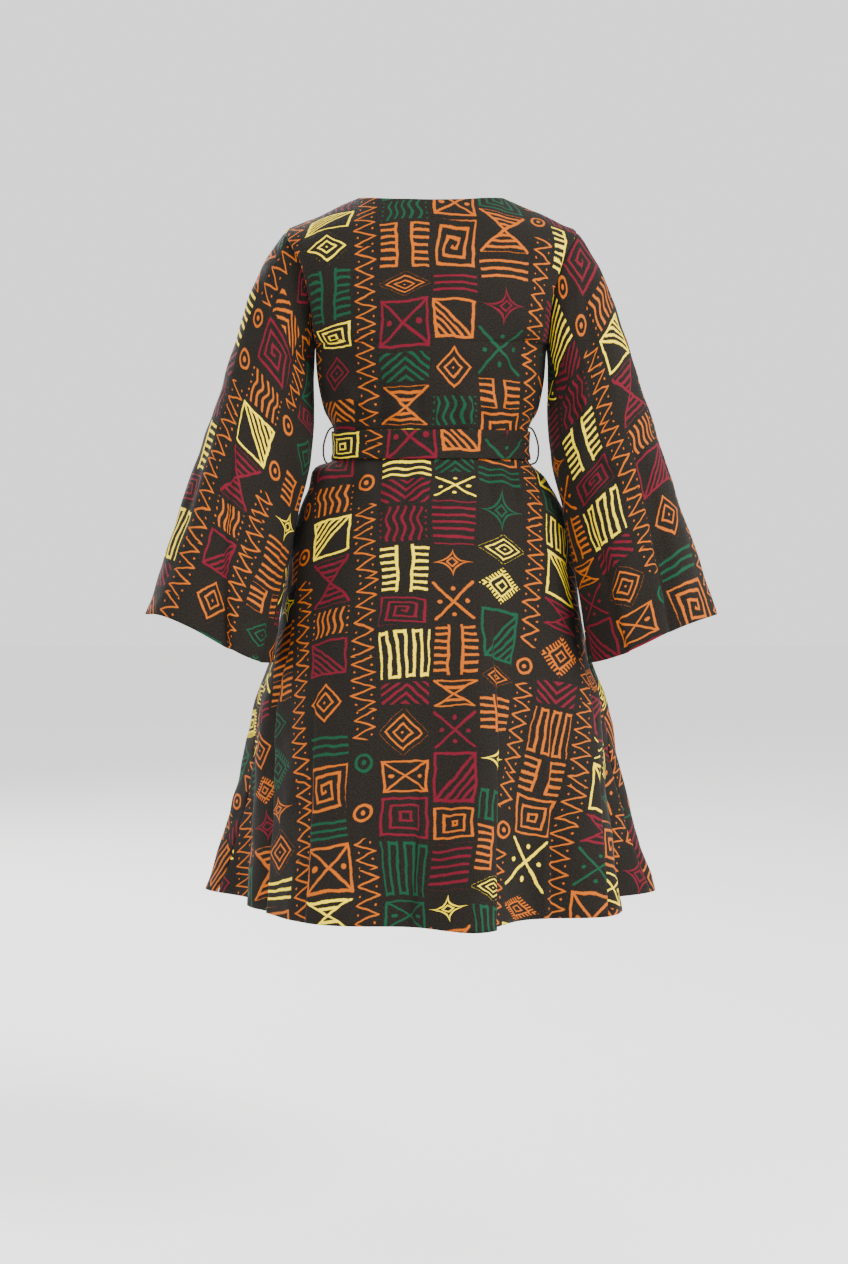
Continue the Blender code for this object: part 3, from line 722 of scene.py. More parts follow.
# A hem is doubled for its depth and ends in a row of stitches
def hemRelief(points, side, depth=0.012, rise=0.0004, ease=0.003, stitch=(0.0005, 0.002, 0.0011)):
    flipped = points[::-1] if side == "foot" else points[:, ::-1] if side == "last" else points
    axis = 0 if side in ("top", "foot") else 1
    length = runningLength(flipped, axis)
    length = length[::-1] if side == "foot" else length[:, ::-1] if side == "last" else length
    doubled = rise * (1 - smoothStep((length - depth) / ease))
    stitchDepth, stitchIn, stitchWidth = stitch
    return doubled - stitchDepth * np.exp(-((length - depth + stitchIn) / stitchWidth) ** 2)


# A folded edge is rounded, and a row of stitches runs beside it: depth and half width of the
# rounding, then depth, place and half width of the stitches, as the piece's own dictionary has them
def foldedEdge(toEdge, look):
    depth, width = look["edge"]
    stitchDepth, stitchIn, stitchWidth = look["stitches"]
    stitches = stitchDepth * np.exp(-((toEdge - stitchIn) / stitchWidth) ** 2)
    return -depth * np.exp(-(toEdge / width) ** 2) - stitches


def bodiceHeight(top, row):
    above = top + (dress["underarm"] - top) * (0.5 - 0.5 * np.cos(np.pi * np.clip(row, 0, 1)))
    return above + (dress["waist"] - dress["underarm"]) * np.clip(row - 1, 0, 1)


def backBodicePlace(column, row):
    x = dress["shoulderHalfWidth"] * np.sin(column)
    neck = -dress["backNeckDrop"] * (1 - (x / dress["neckHalfWidth"]) ** 2)
    top = np.where(np.abs(x) < dress["neckHalfWidth"], neck, shoulderHeight(x))
    return column, bodiceHeight(top, row)


def frontBodicePlace(column, row):
    neckAngle = math.asin(dress["neckHalfWidth"] / dress["shoulderHalfWidth"])
    topAngle = -np.pi / 2 + (np.pi / 2 - neckAngle) * column
    top = shoulderHeight(dress["shoulderHalfWidth"] * np.sin(topAngle))
    edge = wrapAngle(bodiceHeight(0 * top, row))
    return -np.pi / 2 + (np.pi / 2 + edge) * column, bodiceHeight(top, row)


def backSkirtPlace(column, row):
    return column, row


def frontSkirtPlace(column, row):
    return -np.pi / 2 + (np.pi / 2 + wrapAngle(row)) * column, row


# What the two fronts of the bodice and of the skirt share
frontBodice = {
    "place": frontBodicePlace, "side": -1, "flareRadius": 0, "seams": ("first", "foot", "top"),
    "hems": ("last",), "flat": (0.33, 0.44), "area": 0.081,
}
frontSkirt = {
    "place": frontSkirtPlace, "side": -1, "flareRadius": 0.38, "seams": ("first", "top"),
    "hems": ("foot", "last"), "flat": (0.86, 0.84), "area": 0.35,
}

# Panels of the dress: side is 1 at the back, hand -1 for the wearer's left front, which is tucked
# under the right one. Creases are as for creaseRelief and folds as for foldRelief.
panels = {
    "back_bodice": {
        "place": backBodicePlace, "side": 1, "hand": 1, "tucked": False, "flareRadius": 0,
        "seams": ("first", "last", "foot"), "hems": ("top",), "printShift": (0.0, 0.0),
        "flat": (0.47, 0.42), "area": 0.162,
        "creases": (
            (-150, -205, -95, -262, -3.0, 11, 6), (-158, -235, -80, -292, -3.5, 12, -5),
            (-140, -290, -60, -322, -2.5, 9, 4), (150, -200, 88, -258, -3.0, 11, -6),
            (156, -240, 76, -300, -3.6, 12, 5), (138, -296, 56, -324, -2.4, 9, -4),
            (-118, -335, -112, -268, -2.6, 7, 2), (-76, -335, -70, -250, -3.0, 9, -3),
            (-30, -335, -34, -262, -2.4, 8, 2), (22, -335, 20, -272, -2.2, 8, -2),
            (66, -335, 70, -248, -3.0, 9, 3), (108, -335, 112, -276, -2.6, 7, -2),
            (-96, -335, -92, -290, 2.4, 8, 1), (-52, -335, -52, -286, 2.0, 8, 1),
            (44, -335, 45, -288, 2.0, 8, -1), (88, -335, 90, -292, 2.4, 8, 1),
            (-60, -60, 40, -84, -1.6, 16, 8), (-20, -140, 90, -168, -1.6, 18, -6),
        ),
    },
    "right_front_bodice": {
        **frontBodice, "hand": 1, "tucked": False, "printShift": (0.118, 0.040),
        "creases": (
            (-150, -210, -60, -250, -3.4, 13, 6), (-150, -258, -20, -322, -3.4, 13, -6),
            (-110, -335, -98, -270, -2.8, 8, 3), (-60, -335, -46, -262, -2.8, 9, -3),
            (-6, -335, 12, -288, -2.4, 8, 2), (48, -335, 40, -296, -2.4, 8, 2),
            (-70, -60, 10, -215, -2.2, 15, 7), (-84, -335, -76, -290, 2.4, 8, 1),
            (20, -335, 24, -300, 2.0, 8, 1),
        ),
    },
    "left_front_bodice": {
        **frontBodice, "hand": -1, "tucked": True, "printShift": (0.231, 0.075),
        "creases": (
            (150, -214, 66, -254, -3.2, 13, -6), (152, -262, 96, -318, -3.2, 12, 6),
            (126, -335, 118, -278, -2.6, 8, -3), (108, -335, 106, -296, 2.2, 7, 1),
            (74, -70, 30, -170, -2.0, 15, -6),
        ),
    },
    "back_skirt": {
        "place": backSkirtPlace, "side": 1, "hand": 1, "tucked": False, "flareRadius": 0.38,
        "seams": ("first", "last", "top"), "hems": ("foot",), "printShift": (0.0, 0.38),
        "flat": (1.08, 0.80), "area": 0.52,
        "creases": (
            (-118, -378, -128, -452, -2.6, 8, 3), (-84, -378, -92, -470, -2.2, 8, -3),
            (-44, -378, -48, -440, -2.2, 9, 2), (-8, -378, -6, -458, -1.8, 8, 2),
            (34, -378, 38, -446, -2.2, 9, -2), (72, -378, 80, -476, -2.4, 8, 3),
            (112, -378, 124, -448, -2.6, 8, -3), (-100, -378, -108, -432, 2.2, 8, 1),
            (92, -378, 100, -430, 2.2, 8, 1), (14, -378, 16, -432, 1.6, 8, 1),
            (150, -402, 270, -392, 9.0, 17, 0),
        ),
        "folds": (
            (-24, -15, 0.22, 17, 34, -1, 30), (68, 50, 0.10, 17, 42, 1, 26),
            (-74, -47, 0.10, 17, 42, -1, 26), (40, 31, 0.35, 7, 26, 1, 9), (-42, -33, 0.40, 7, 24, -1, 8),
            (3, 5, 0.50, 6, 26, 1, 7), (18, 17, 0.62, 5, 22, -1, 5),
        ),
    },
    "right_front_skirt": {
        **frontSkirt, "hand": 1, "tucked": False, "printShift": (0.137, 0.47),
        "creases": (
            (-120, -378, -130, -450, -2.6, 8, 3), (-76, -378, -84, -470, -2.4, 9, -3),
            (-34, -378, -38, -446, -2.2, 8, 2), (10, -378, 8, -470, -2.4, 9, 2),
            (54, -378, 50, -448, -2.2, 8, -2), (-54, -378, -60, -438, 2.2, 8, 1),
            (96, -382, 60, -560, -3.0, 14, 8),
        ),
        "folds": (
            (-112, -104, 0.12, 14, 36, 1, 20), (-132, -126, 0.20, 12, 34, 1, 18),
            (-156, -150, 0.35, 8, 28, -1, 10), (-176, -178, 0.25, 10, 30, -1, 14),
            (166, 164, 0.45, 7, 24, 1, 8),
        ),
    },
    "left_front_skirt": {
        **frontSkirt, "hand": -1, "tucked": True, "printShift": (0.262, 0.52),
        "creases": (
            (122, -378, 134, -452, -2.6, 8, 3), (146, -378, 158, -440, -2.2, 8, 2),
            (150, -402, 270, -392, 9.0, 17, 0),
        ),
        "folds": (
            (104, 108, 0.15, 13, 34, 1, 20), (124, 126, 0.25, 10, 30, -1, 14),
            (142, 142, 0.40, 7, 24, 1, 8),
        ),
    },
}

# Columns and rows of the panels; the skirt's rows crowd a little at the waist, by a power
panelGrid = {
    "shoulderColumns": 40, "neckColumns": 60, "armholeRows": 62, "lowerRows": 50, "frontColumns": 110,
    "backSkirtColumns": 380, "frontSkirtColumns": 230, "skirtRows": 112, "skirtCrowding": 1.15,
}


def panelLines(name):
    neckAngle = math.asin(dress["neckHalfWidth"] / dress["shoulderHalfWidth"])
    if name.endswith("bodice"):
        upper = np.linspace(0, 1, panelGrid["armholeRows"] + 1)
        lower = np.linspace(1, 2, panelGrid["lowerRows"] + 1)
        rows = np.concatenate([upper, lower[1:]])
    else:
        down = np.linspace(0, 1, panelGrid["skirtRows"] + 1) ** panelGrid["skirtCrowding"]
        rows = dress["waist"] + (dress["hem"] - dress["waist"]) * down
    if name == "back_bodice":
        shoulder = np.linspace(-np.pi / 2, -neckAngle, panelGrid["shoulderColumns"] + 1)
        neck = np.linspace(-neckAngle, neckAngle, panelGrid["neckColumns"] + 1)
        return np.concatenate([shoulder[:-1], neck, -shoulder[-2::-1]]), rows
    if name == "back_skirt":
        return np.linspace(-np.pi / 2, np.pi / 2, panelGrid["backSkirtColumns"] + 1), rows
    count = panelGrid["frontColumns"] if name.endswith("bodice") else panelGrid["frontSkirtColumns"]
    return np.linspace(0, 1, count + 1), rows


def makePanel(name, look):
    columns, rows = panelLines(name)
    column, row = np.meshgrid(columns, rows)
    angle, height = look["place"](column, row)
    turned = look["hand"] * angle
    base = dressPoints(turned, height, look["side"])
    facing = look["side"] * look["hand"]
    normal = gridNormals(base, facing)
    cut = flatCut(turned, height, look["side"], look)
    across = clothLengths(turned, height, look["side"])[0]
    relief = creaseRelief(across, height, look["creases"])
    # the print's shift also moves the ripples, so that no two panels ripple alike
    relief = relief + clothRipple(across + look["printShift"][0] * 7, height, dress["ripple"])
    held = smoothStep(np.abs(height - dress["waist"]) / dress["beltHold"])
    start, length = dress["shoulderHold"]
    relief = relief * held * smoothStep((start - height) / length)
    if name.endswith("bodice"):
        sideAngle = np.abs(angle) if look["side"] > 0 else -angle
        relief = relief * smoothStep((np.pi / 2 - sideAngle) / dress["seamHold"])
    if "folds" in look:
        share = (height - dress["waist"]) / (dress["hem"] - dress["waist"])
        turn = turned if look["side"] > 0 else np.pi - turned
        folded, hidden = foldRelief(turn, share, np.hypot(base[..., 0], base[..., 1]), look["folds"])
        relief = relief + folded
        cut = cut + np.stack([hidden, 0 * hidden], axis=-1)
    relief = relief - seamDip(base, look["seams"])
    for side in look["hems"]:
        relief = relief + hemRelief(base, side)
    if look["tucked"]:
        past = np.degrees(angle * look["hand"] - wrapAngle(height))
        covered = 1 - smoothStep(past / dress["wrapFade"])
        relief = np.where(covered > 0, relief * (1 - covered), relief) - dress["wrapStep"] * covered
    points = base + normal * relief[..., None]
    piece = makeSheet(name, points, cut, (printFace, printReverse),
                      dress["clothThickness"], facing=facing)


for panelName, panelLook in panels.items():
    makePanel(panelName, panelLook)
    print(panelName, "made")


# Sleeves: share of the length, outer edge x and z, inner edge x and z, y of the centre, half depth
sleeve = {
    "sections": (
        (0.00, 0.2100, -0.0450, 0.1680, -0.2100, 0.000, 0.060),
        (0.10, 0.2425, -0.0940, 0.1700, -0.2570, 0.000, 0.064),
        (0.20, 0.2655, -0.1485, 0.1690, -0.3040, 0.005, 0.067),
        (0.35, 0.2905, -0.2320, 0.1735, -0.3740, 0.020, 0.071),
        (0.50, 0.3160, -0.3158, 0.1885, -0.4430, 0.042, 0.075),
        (0.75, 0.3600, -0.4560, 0.2088, -0.5570, 0.080, 0.082),
        (1.00, 0.4035, -0.5945, 0.2235, -0.6630, 0.109, 0.086),
    ),
    # share of the length over which the tube eases out of the armhole, and how far and over what
    # share its first rings slip under the bodice
    "cap": 0.25,
    "tuck": 0.0025,
    "tuckShare": 0.012,
    # the creases begin over this share, and fade by this much over this angle next to the body
    "capHold": 0.05,
    "bodyHold": (0.7, 0.7),
    "columns": 200,
    "rows": 150,
    "crowding": 1.1,
    "flat": (0.62, 0.64),
    "area": 0.262,
}

# Cuff: how far its back edge dips and how far its middle is lifted. Folds are soft: turn from the
# outer edge over the back, depth at the cuff, half width in degrees, share where each begins.
# sharpFolds are as for foldRelief. Creases are mm round from the outer edge and mm down.
sleeveSides = {
    "left_sleeve": {
        "hand": 1, "printShift": (0.030, 0.110), "cuff": (0.008, 0.010),
        "folds": ((62, 0.006, 20, 0.30), (104, -0.013, 15, 0.35), (140, 0.007, 16, 0.40),
                  (-80, -0.012, 18, 0.35), (-128, 0.008, 18, 0.40)),
        "sharpFolds": ((52, 112, 0.30, 12, 24, -1, 24), (150, 146, 0.45, 7, 22, 1, 10),
                       (-70, -96, 0.35, 10, 24, 1, 18)),
        "creases": (
            (230, -20, 150, -95, -3.4, 11, 6), (236, -60, 140, -170, -3.6, 13, -8),
            (60, -30, 120, -110, -2.4, 12, 6), (150, -190, 90, -300, -3.0, 13, 8),
            (190, -240, 170, -420, -3.2, 12, 6), (96, -330, 120, -520, -2.8, 13, -7),
            (40, -260, 60, -470, -2.4, 13, 6), (120, -150, 175, -260, 2.6, 12, 4),
            (-60, -60, -130, -170, -3.0, 13, 7), (-150, -210, -90, -380, -3.0, 13, -7),
            (-60, -330, -80, -540, -2.8, 13, 6),
        ),
    },
    "right_sleeve": {
        "hand": -1, "printShift": (0.205, 0.020), "cuff": (0.004, 0.006),
        "folds": ((72, -0.008, 17, 0.35), (116, 0.007, 20, 0.40), (-64, 0.008, 18, 0.40),
                  (-104, -0.012, 16, 0.35)),
        "sharpFolds": ((58, 76, 0.35, 9, 24, -1, 18), (128, 118, 0.50, 6, 20, 1, 8),
                       (-84, -112, 0.35, 10, 24, 1, 18)),
        "creases": (
            (232, -24, 160, -110, -3.4, 11, -6), (238, -70, 150, -200, -3.4, 13, 8),
            (70, -40, 110, -130, -2.2, 12, -6), (160, -220, 110, -350, -3.0, 13, -8),
            (200, -280, 176, -450, -3.2, 12, -6), (80, -300, 106, -500, -2.6, 13, 7),
            (130, -120, 182, -240, 2.6, 12, 4), (-70, -80, -140, -190, -3.0, 13, 7),
            (-140, -240, -96, -400, -3.0, 13, -7), (-50, -300, -72, -520, -2.8, 13, 6),
        ),
    },
}


# The armhole's seam line: half on the back, half on the front
def armholeLine(turn):
    middle = (dress["underarm"] - dress["shoulderDrop"]) / 2
    height = middle - (dress["underarm"] + dress["shoulderDrop"]) / 2 * np.cos(turn)
    side = np.full(np.shape(turn), np.pi / 2)
    isBehind = (np.sin(turn) >= 0)[..., None]
    return np.where(isBehind, dressPoints(side, height, 1), dressPoints(side, height, -1))


# Rings between the outer and inner edge lines: the middle plus half the span times cos(turn), with
# y = centre + half depth times sin(turn), eased into the armhole's line over the sleeve's cap
def sleevePoints(turn, share, folds, cuff):
    outerX, outerZ, innerX, innerZ, centreY, halfDepth = columnsAt(sleeve["sections"], share)
    swell = np.zeros(np.shape(turn))
    for foldTurn, depth, halfWidth, start in folds:
        away = (np.degrees(turn) - foldTurn + 180) % 360 - 180
        growth = smoothStep((share - start) / (1 - start))
        swell = swell + depth * growth * np.exp(-(away / halfWidth) ** 2)
    halfSpan = np.hypot(outerX - innerX, outerZ - innerZ) / 2
    across = np.cos(turn) * (1 + swell / halfSpan)
    x = (outerX + innerX) / 2 + (outerX - innerX) / 2 * across
    z = (outerZ + innerZ) / 2 + (outerZ - innerZ) / 2 * across
    dip, lift = cuff
    z = z + smoothStep(share) * np.sin(turn) * (dip * np.sin(2 * turn) + lift * np.sin(turn))
    y = centreY + (halfDepth + swell) * np.sin(turn)
    tube = np.stack([x, y, z], axis=-1)
    first = columnsAt(sleeve["sections"], 0 * share)
    plain = np.stack([(first[0] + first[2]) / 2 + (first[0] - first[2]) / 2 * np.cos(turn),
                      first[5] * np.sin(turn),
                      (first[1] + first[3]) / 2 + (first[1] - first[3]) / 2 * np.cos(turn)], axis=-1)
    cap = (1 - smoothStep(share / sleeve["cap"]))[..., None]
    tuck = sleeve["tuck"] * (1 - smoothStep(share / sleeve["tuckShare"]))[..., None]
    return tube + cap * (armholeLine(turn) - plain) - tuck * np.array([1, 0, 0])


def makeSleeve(name, look):
    turns = np.linspace(0, 2 * np.pi, sleeve["columns"] + 1)
    shares = np.linspace(0, 1, sleeve["rows"] + 1) ** sleeve["crowding"]
    turn, share = np.meshgrid(turns, shares)
    base = sleevePoints(turn, share, look["folds"], look["cuff"])
    normal = gridNormals(base[:, :-1], -1, isRing=True)
    around = runningLength(base, 1)
    down = -runningLength(base, 0).mean(axis=1, keepdims=True) + 0 * around
    # the print starts at the sleeve's outer line, so its join lies under the arm
    centred = np.where(turn > np.pi, around - around[:, -1:], around)
    ring = slice(0, -1)
    relief = creaseRelief(centred, down, look["creases"])
    relief = relief + clothRipple(centred + look["printShift"][0] * 5, down, dress["ripple"])
    middle = base.mean(axis=1, keepdims=True)
    signedTurn = np.where(turn > np.pi, turn - 2 * np.pi, turn)
    radius = np.linalg.norm(base - middle, axis=-1)
    folded, hidden = foldRelief(signedTurn, share, radius, look["sharpFolds"])
    relief = (relief + folded)[:, ring] * smoothStep(share[:, ring] / sleeve["capHold"])
    # most of the relief is kept off the side that hangs next to the body
    fading, angle = sleeve["bodyHold"]
    relief = relief * (1 - fading * np.exp(-((turn[:, ring] - np.pi) / angle) ** 2))
    relief = relief - seamDip(base[:, ring], ("top",)) + hemRelief(base[:, ring], "foot")
    points = base[:, ring] + normal * relief[..., None]
    points = points * np.array([look["hand"], 1, 1])
    isPast = np.arange(len(turns)) * 2 > len(turns)
    half = look["hand"] * (np.where(isPast, around - around[:, -1:], around) + hidden)
    cut = np.stack([half, down], axis=-1) + np.array(look["printShift"])
    piece = makeSheet(name, points, cut, (printFace, printReverse),
                      dress["clothThickness"], isRing=True, facing=-look["hand"])


for sleeveName, sleeveLook in sleeveSides.items():
    makeSleeve(sleeveName, sleeveLook)
    print(sleeveName, "made")


# The surface all round at a height, by the turn from the centre back towards the wearer's left
def roundSurface(turn, height):
    behind = dressPoints(turn, height, 1)
    before = dressPoints(np.pi - turn, height, -1)
    return np.where((np.cos(turn) >= 0)[..., None], behind, before)


belt = {
    "width": 0.042,
    "lift": 0.0012,
    "thickness": 0.0016,
    "proud": 0.0009,
    "deepest": 0.0012,
    "edge": (0.0009, 0.0016),
    "stitches": (0.0003, 0.003, 0.0009),
    "columns": 420,
    "rows": 26,
    "flat": (0.83, 0.043),
    "printShift": (0.010, 0.160),
    # creases of the belt: mm round from the centre back, and mm from its middle
    "creases": (
        (-120, 14, -60, -6, -1.0, 3.5, 2), (-70, -12, 10, 4, -1.1, 3.5, -2),
        (0, 14, 70, -2, -1.0, 3.5, 2), (50, -14, 120, 6, -1.1, 3.5, -2), (110, 15, 180, 2, -1.1, 3.5, 1),
        (-190, -10, -130, 8, -1.1, 3.5, 1), (180, -12, 260, 10, -1.4, 4, 3),
        (250, 12, 330, -8, -1.6, 4, -2), (-260, 10, -190, -6, -1.1, 3.5, 2),
        (-340, -8, -270, 10, -1.2, 3.5, 2), (232, 2, 300, 3, 1.2, 4, 1), (-30, 2, 30, -6, 0.8, 4, 1),
    ),
}


def makeBelt():
    turns = np.linspace(-np.pi, np.pi, belt["columns"] + 1)
    heights = dress["waist"] + belt["width"] / 2 - np.linspace(0, belt["width"], belt["rows"] + 1)
    turn, height = np.meshgrid(turns, heights)
    base = roundSurface(turn, height)
    normal = gridNormals(base[:, :-1], 1, isRing=True)
    around = runningLength(base, 1)
    around = around - around[:, len(turns) // 2][:, None]
    fromMiddle = height - dress["waist"]
    relief = creaseRelief(around, fromMiddle, belt["creases"])
    relief = relief + foldedEdge(belt["width"] / 2 - np.abs(fromMiddle), belt)
    lift = belt["lift"] + belt["thickness"] + belt["proud"] + np.maximum(relief, -belt["deepest"])
    points = base[:, :-1] + normal * lift[:, :-1, None]
    cut = np.stack([around, fromMiddle], axis=-1) + np.array(belt["printShift"])
    piece = makeSheet("belt", points, cut, (printFace,), belt["thickness"], isRing=True)


makeBelt()
print("belt made")

# The knot sits on the belt at a turn in degrees from the centre back, its middle a reach outside
# the surface. Each groove of its wraps: lean against x or z, place, half width and depth, in metres.
knot = {
    "turn": 143.5,
    "width": 0.046,
    "height": 0.042,
    "depth": 0.020,
    "reach": 0.0148,
    "squareness": 0.72,
    "pinch": (0.10, 0.012),
    "slantingGrooves": ((0.55, 0.008, 0.0024, 0.11), (0.55, -0.009, 0.0024, 0.11)),
    "uprightGrooves": ((-0.25, 0.013, 0.0022, 0.05), (-0.25, -0.014, 0.0022, 0.05)),
    "lobe": (0.035, 900, 500),
    "printShift": (0.3, 0.2),
    "printStretch": 1.3,
    "printLean": 0.55,
    "columns": 120,
    "rows": 60,
}


# The knot is a closed form, |x|^n + |z|^n + |y|^n rounded, with slanting wraps as grooves
def makeKnot():
    turn = math.radians(knot["turn"])
    before, face, after = roundSurface(turn + np.array([-1e-4, 0, 1e-4]), np.full(3, dress["waist"]))
    heading = math.atan2(before[0] - after[0], after[1] - before[1]) + np.pi
    out = np.array([math.cos(heading), math.sin(heading), 0])
    beside = np.array([-math.sin(heading), math.cos(heading), 0])
    bearing = np.linspace(0, 2 * np.pi, knot["columns"] + 1)[:-1]
    rise = np.linspace(-np.pi / 2, np.pi / 2, knot["rows"] + 1)
    bearing, rise = np.meshgrid(bearing, rise)

    def rounded(wave):
        return np.sign(wave) * np.abs(wave) ** knot["squareness"]

    x = knot["width"] / 2 * rounded(np.cos(rise)) * rounded(np.cos(bearing))
    y = knot["depth"] / 2 * rounded(np.cos(rise)) * rounded(np.sin(bearing))
    z = knot["height"] / 2 * rounded(np.sin(rise))
    pinchDepth, pinchWidth = knot["pinch"]
    pinch = 1 - pinchDepth * np.exp(-(x / pinchWidth) ** 2)
    wrap = 1
    for lean, place, width, depth in knot["slantingGrooves"]:
        wrap = wrap - depth * np.exp(-((z + lean * x - place) / width) ** 2)
    for lean, place, width, depth in knot["uprightGrooves"]:
        wrap = wrap - depth * np.exp(-((x + lean * z - place) / width) ** 2)
    lobeDepth, lobeAcross, lobeUp = knot["lobe"]
    lobe = 1 + lobeDepth * np.sin(lobeAcross * x + lobeUp * z)
    centre = face + out * knot["reach"]
    local = beside * (x * lobe)[..., None] + out * (y * wrap)[..., None]
    points = centre + local + np.array([0, 0, 1]) * (z * pinch * lobe)[..., None]
    cut = np.stack([x * knot["printStretch"], z + x * knot["printLean"]], axis=-1)
    cut = cut + np.array(knot["printShift"])
    cut = np.concatenate([cut, cut[:, :1]], axis=1)
    index = np.arange(points.shape[0] * points.shape[1]).reshape(points.shape[:2])
    index = np.concatenate([index, index[:, :1]], axis=1)
    mesh = bpy.data.meshes.new("belt_knot_cloth")
    mesh.from_pydata(points.reshape(-1, 3), [], gridQuads(index))
    addCut(mesh, cut)
    closePoles(mesh)
    addPiece("belt_knot", "cloth", mesh, (printFace,))


makeKnot()
print("knot made")

# Tails: turn in degrees at the knot and at the end, height of the end, the print's place, the cut
tails = {
    "belt_tail_upper": {"topTurn": 137.0, "endTurn": 139.0, "end": -0.700,
                        "printShift": (0.02, 0.30), "flat": (0.042, 0.345)},
    "belt_tail_under": {"topTurn": 150.0, "endTurn": 162.0, "end": -0.755,
                        "printShift": (0.14, 0.52), "flat": (0.042, 0.400)},
}
# Both tails: heights of their top and of their full width, half width at the top, and the cloth's
# form. Pleats and wave are a height, then how often they come across and, for the wave, down.
tailForm = {
    "top": -0.3785,
    "full": -0.50,
    "pinch": 0.010,
    "lift": 0.0014,
    "thickness": 0.0016,
    "proud": 0.0016,
    "deepest": 0.0014,
    "pleats": (0.0016, 7.0),
    "wave": (0.0007, 1.4, 34),
    "waveEnds": (6, 0.3),
    "edge": (0.0007, 0.0015),
    "stitches": (0.0003, 0.003, 0.0009),
    "columns": 30,
    "rows": 150,
}


# A tail lies on the skirt: its middle follows a turn that eases from the knot to its end
def makeTail(name, look):
    sides, heights = np.meshgrid(np.linspace(-1, 1, tailForm["columns"] + 1),
                                 np.linspace(tailForm["top"], look["end"], tailForm["rows"] + 1))
    hung = smoothStep((tailForm["top"] - heights) / (tailForm["top"] - look["end"]))
    centre = np.radians(look["topTurn"] + (look["endTurn"] - look["topTurn"]) * hung)
    widening = smoothStep((tailForm["top"] - heights) / (tailForm["top"] - tailForm["full"]))
    half = tailForm["pinch"] + (belt["width"] / 2 - tailForm["pinch"]) * widening
    ahead = roundSurface(centre + 1e-4, heights) - roundSurface(centre, heights)
    speed = np.linalg.norm(ahead, axis=-1) / 1e-4
    base = roundSurface(centre + sides * half / speed, heights)
    normal = gridNormals(base, 1)
    across = sides * half
    down = -runningLength(base, 0)
    # gathered pleats under the knot that open out, then a slow wave
    pleatHeight, pleatTurns = tailForm["pleats"]
    pleats = pleatHeight * (1 - widening) * np.cos(sides * pleatTurns)
    waveHeight, waveAcross, waveDown = tailForm["wave"]
    wave = waveHeight * widening * np.sin(down * waveDown + sides * waveAcross)
    steepness, least = tailForm["waveEnds"]
    wave = wave * smoothStep((1 - hung) * steepness + least)
    relief = pleats + wave + foldedEdge(half - np.abs(across), tailForm)
    lift = tailForm["lift"] + tailForm["thickness"] + tailForm["proud"]
    points = base + normal * (lift + np.maximum(relief, -tailForm["deepest"]))[..., None]
    cut = np.stack([across, down], axis=-1) + np.array(look["printShift"])
    piece = makeSheet(name, points, cut, (printFace,), tailForm["thickness"])


for tailName, tailLook in tails.items():
    makeTail(tailName, tailLook)
print("tails made")

# Thread loops at the side seams. The route is the distance past the waist's half width and the
# height; fullness is each ply's radius over a quarter of the thread's thickness.
loops = {
    "thickness": 0.0030,
    "turnsPerMetre": 300,
    "fullness": 1.15,
    "samples": 161,
    "corners": 8,
    "route": (
        (-0.0010, -0.3270), (0.0034, -0.3290), (0.0060, -0.3310), (0.0095, -0.3370), (0.0130, -0.3470),
        (0.0150, -0.3580), (0.0150, -0.3660), (0.0135, -0.3740), (0.0110, -0.3790), (0.0060, -0.3815),
        (0.0010, -0.3825),
    ),
}


# Two plies wound round one route: each is a circle whose centre turns round the route
def makeLoop(name, hand):
    route = np.array(loops["route"])
    steps = np.concatenate([[0], np.cumsum(np.linalg.norm(np.diff(route, axis=0), axis=1))])
    at = np.linspace(0, steps[-1], loops["samples"])
    table = np.concatenate([steps[:, None], route], axis=1)
    out, height = columnsAt([tuple(row) for row in table], at)
    start = columnsAt(dress["sections"], np.array(dress["waist"] + belt["width"] / 2))[0]
    middle = np.stack([start + out, 0 * out, height], axis=-1)
    tangent = np.gradient(middle, axis=0)
    tangent = tangent / np.linalg.norm(tangent, axis=1, keepdims=True)
    sideways = np.tile([0.0, 1.0, 0.0], (len(at), 1))
    upright = np.cross(tangent, sideways)
    wind = at * loops["turnsPerMetre"] * 2 * np.pi
    radius = loops["thickness"] / 4
    corners = np.linspace(0, 2 * np.pi, loops["corners"] + 1)[:-1]
    allPoints, allFaces = [], []
    for number, ply in enumerate((0, np.pi)):
        turned = (wind + ply)[:, None]
        centre = middle + radius * (np.cos(turned) * sideways + np.sin(turned) * upright)
        ring = (centre[:, None] + loops["fullness"] * radius
                * (np.cos(corners)[None, :, None] * sideways[:, None]
                   + np.sin(corners)[None, :, None] * upright[:, None]))
        allPoints.append((ring * np.array([hand, 1, 1])).reshape(-1, 3))
        index = np.arange(len(allPoints[0])).reshape(-1, loops["corners"]) + number * len(allPoints[0])
        allFaces += [tuple(index[0]), tuple(index[-1])]
        index = np.concatenate([index, index[:, :1]], axis=1)
        allFaces += [tuple(face) for face in gridQuads(index.T)]
    mesh = bpy.data.meshes.new(name + "_thread")
    mesh.from_pydata(np.concatenate(allPoints), [], allFaces)
    closePoles(mesh)
    addPiece(name, "thread", mesh, (thread,))


makeLoop("left_belt_loop", 1)
makeLoop("right_belt_loop", -1)
print("belt loops made")

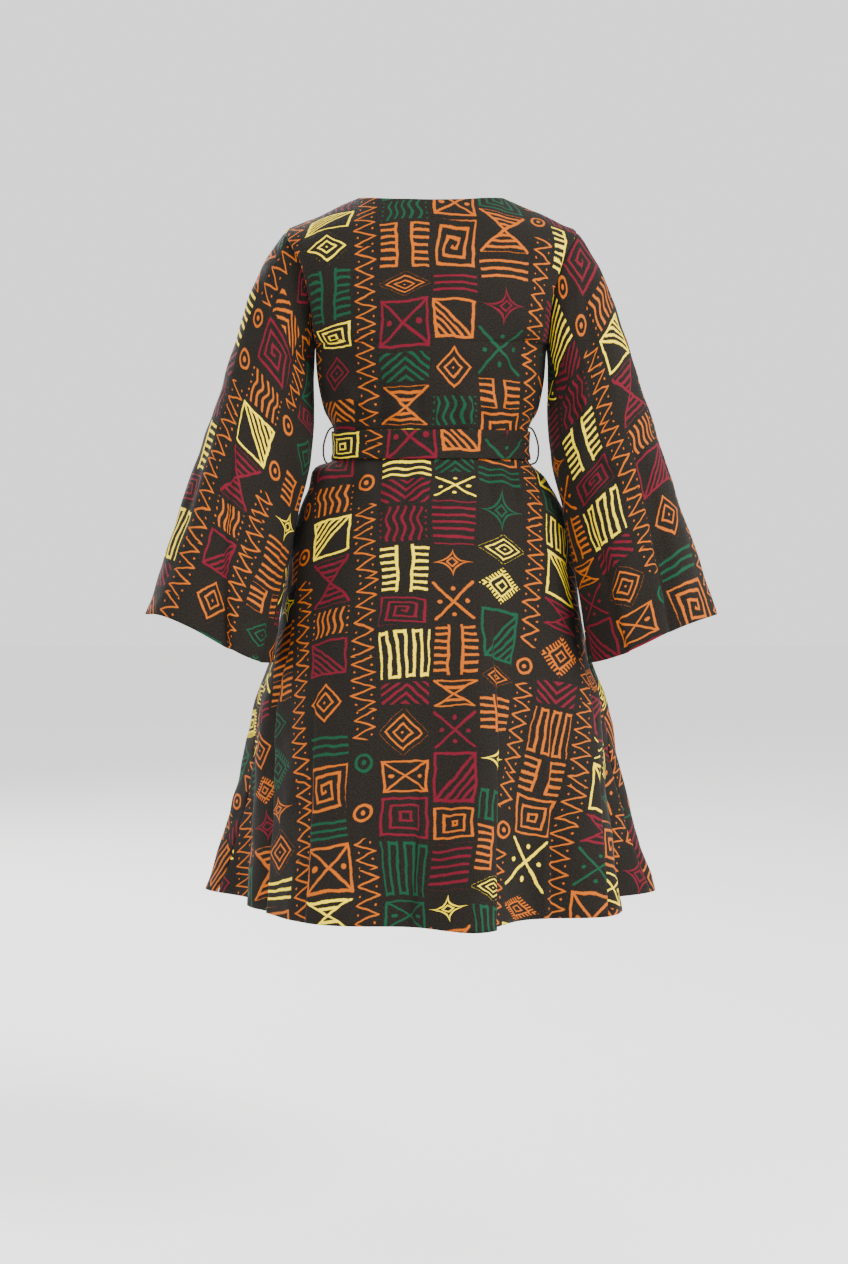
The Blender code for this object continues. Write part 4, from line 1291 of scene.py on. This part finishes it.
studio = {
    "floorHeight": -1.53,
    "floorHalf": 14.0,
    "floorColour": "#f6f6f5",
    "worldColour": "#ffffff",
    "worldStrength": 1.50,
    "cameraPlace": (0.010, 3.40, -0.434),
    "cameraDown": 3.24,
    "focalPixels": 2329.0,
    "photoHeight": 1264.0,
    # place, size in metres, power in watts
    "softboxes": (
        ((-3.2, 2.6, 1.6), 1.6, 400),
        ((3.2, 2.6, 0.8), 2.2, 120),
        ((2.2, -3.4, 1.8), 2.0, 240),
    ),
    "aim": (0, 0, -0.5),
    "sensor": 36.0,
}


def makeStudio():
    corners = [(x * studio["floorHalf"], y * studio["floorHalf"], studio["floorHeight"])
               for x, y in ((-1, -1), (1, -1), (1, 1), (-1, 1))]
    mesh = bpy.data.meshes.new("studioFloor")
    mesh.from_pydata(corners, [], [(0, 1, 2, 3)])
    floor = bpy.data.objects.new("studioFloor", mesh)
    bpy.context.scene.collection.objects.link(floor)
    paper = bpy.data.materials.new("paleStudioPaper")
    paper.use_nodes = True
    shader = paper.node_tree.nodes["Principled BSDF"]
    shader.inputs["Base Color"].default_value = hexToLinear(studio["floorColour"])
    shader.inputs["Roughness"].default_value = 0.9
    mesh.materials.append(paper)
    world = bpy.data.worlds.new("studioLight")
    world.use_nodes = True
    background = world.node_tree.nodes["Background"]
    background.inputs[0].default_value = hexToLinear(studio["worldColour"])
    background.inputs[1].default_value = studio["worldStrength"]
    bpy.context.scene.world = world
    for number, (place, size, power) in enumerate(studio["softboxes"]):
        light = bpy.data.lights.new(f"softbox{number}", "AREA")
        light.size = size
        light.energy = power
        lamp = bpy.data.objects.new(f"softbox{number}", light)
        bpy.context.scene.collection.objects.link(lamp)
        lamp.location = place
        aim = np.array(studio["aim"]) - np.array(place)
        lamp.rotation_euler = (math.atan2(math.hypot(aim[0], aim[1]), -aim[2]), 0,
                               math.atan2(aim[1], aim[0]) - math.pi / 2)
    lens = bpy.data.cameras.new("studioCamera")
    lens.sensor_width = studio["sensor"]
    lens.lens = studio["focalPixels"] / studio["photoHeight"] * studio["sensor"]
    camera = bpy.data.objects.new("studioCamera", lens)
    bpy.context.scene.collection.objects.link(camera)
    camera.location = studio["cameraPlace"]
    camera.rotation_euler = (math.radians(90 - studio["cameraDown"]), 0, math.radians(180))
    bpy.context.scene.camera = camera


makeStudio()
print("studio made")
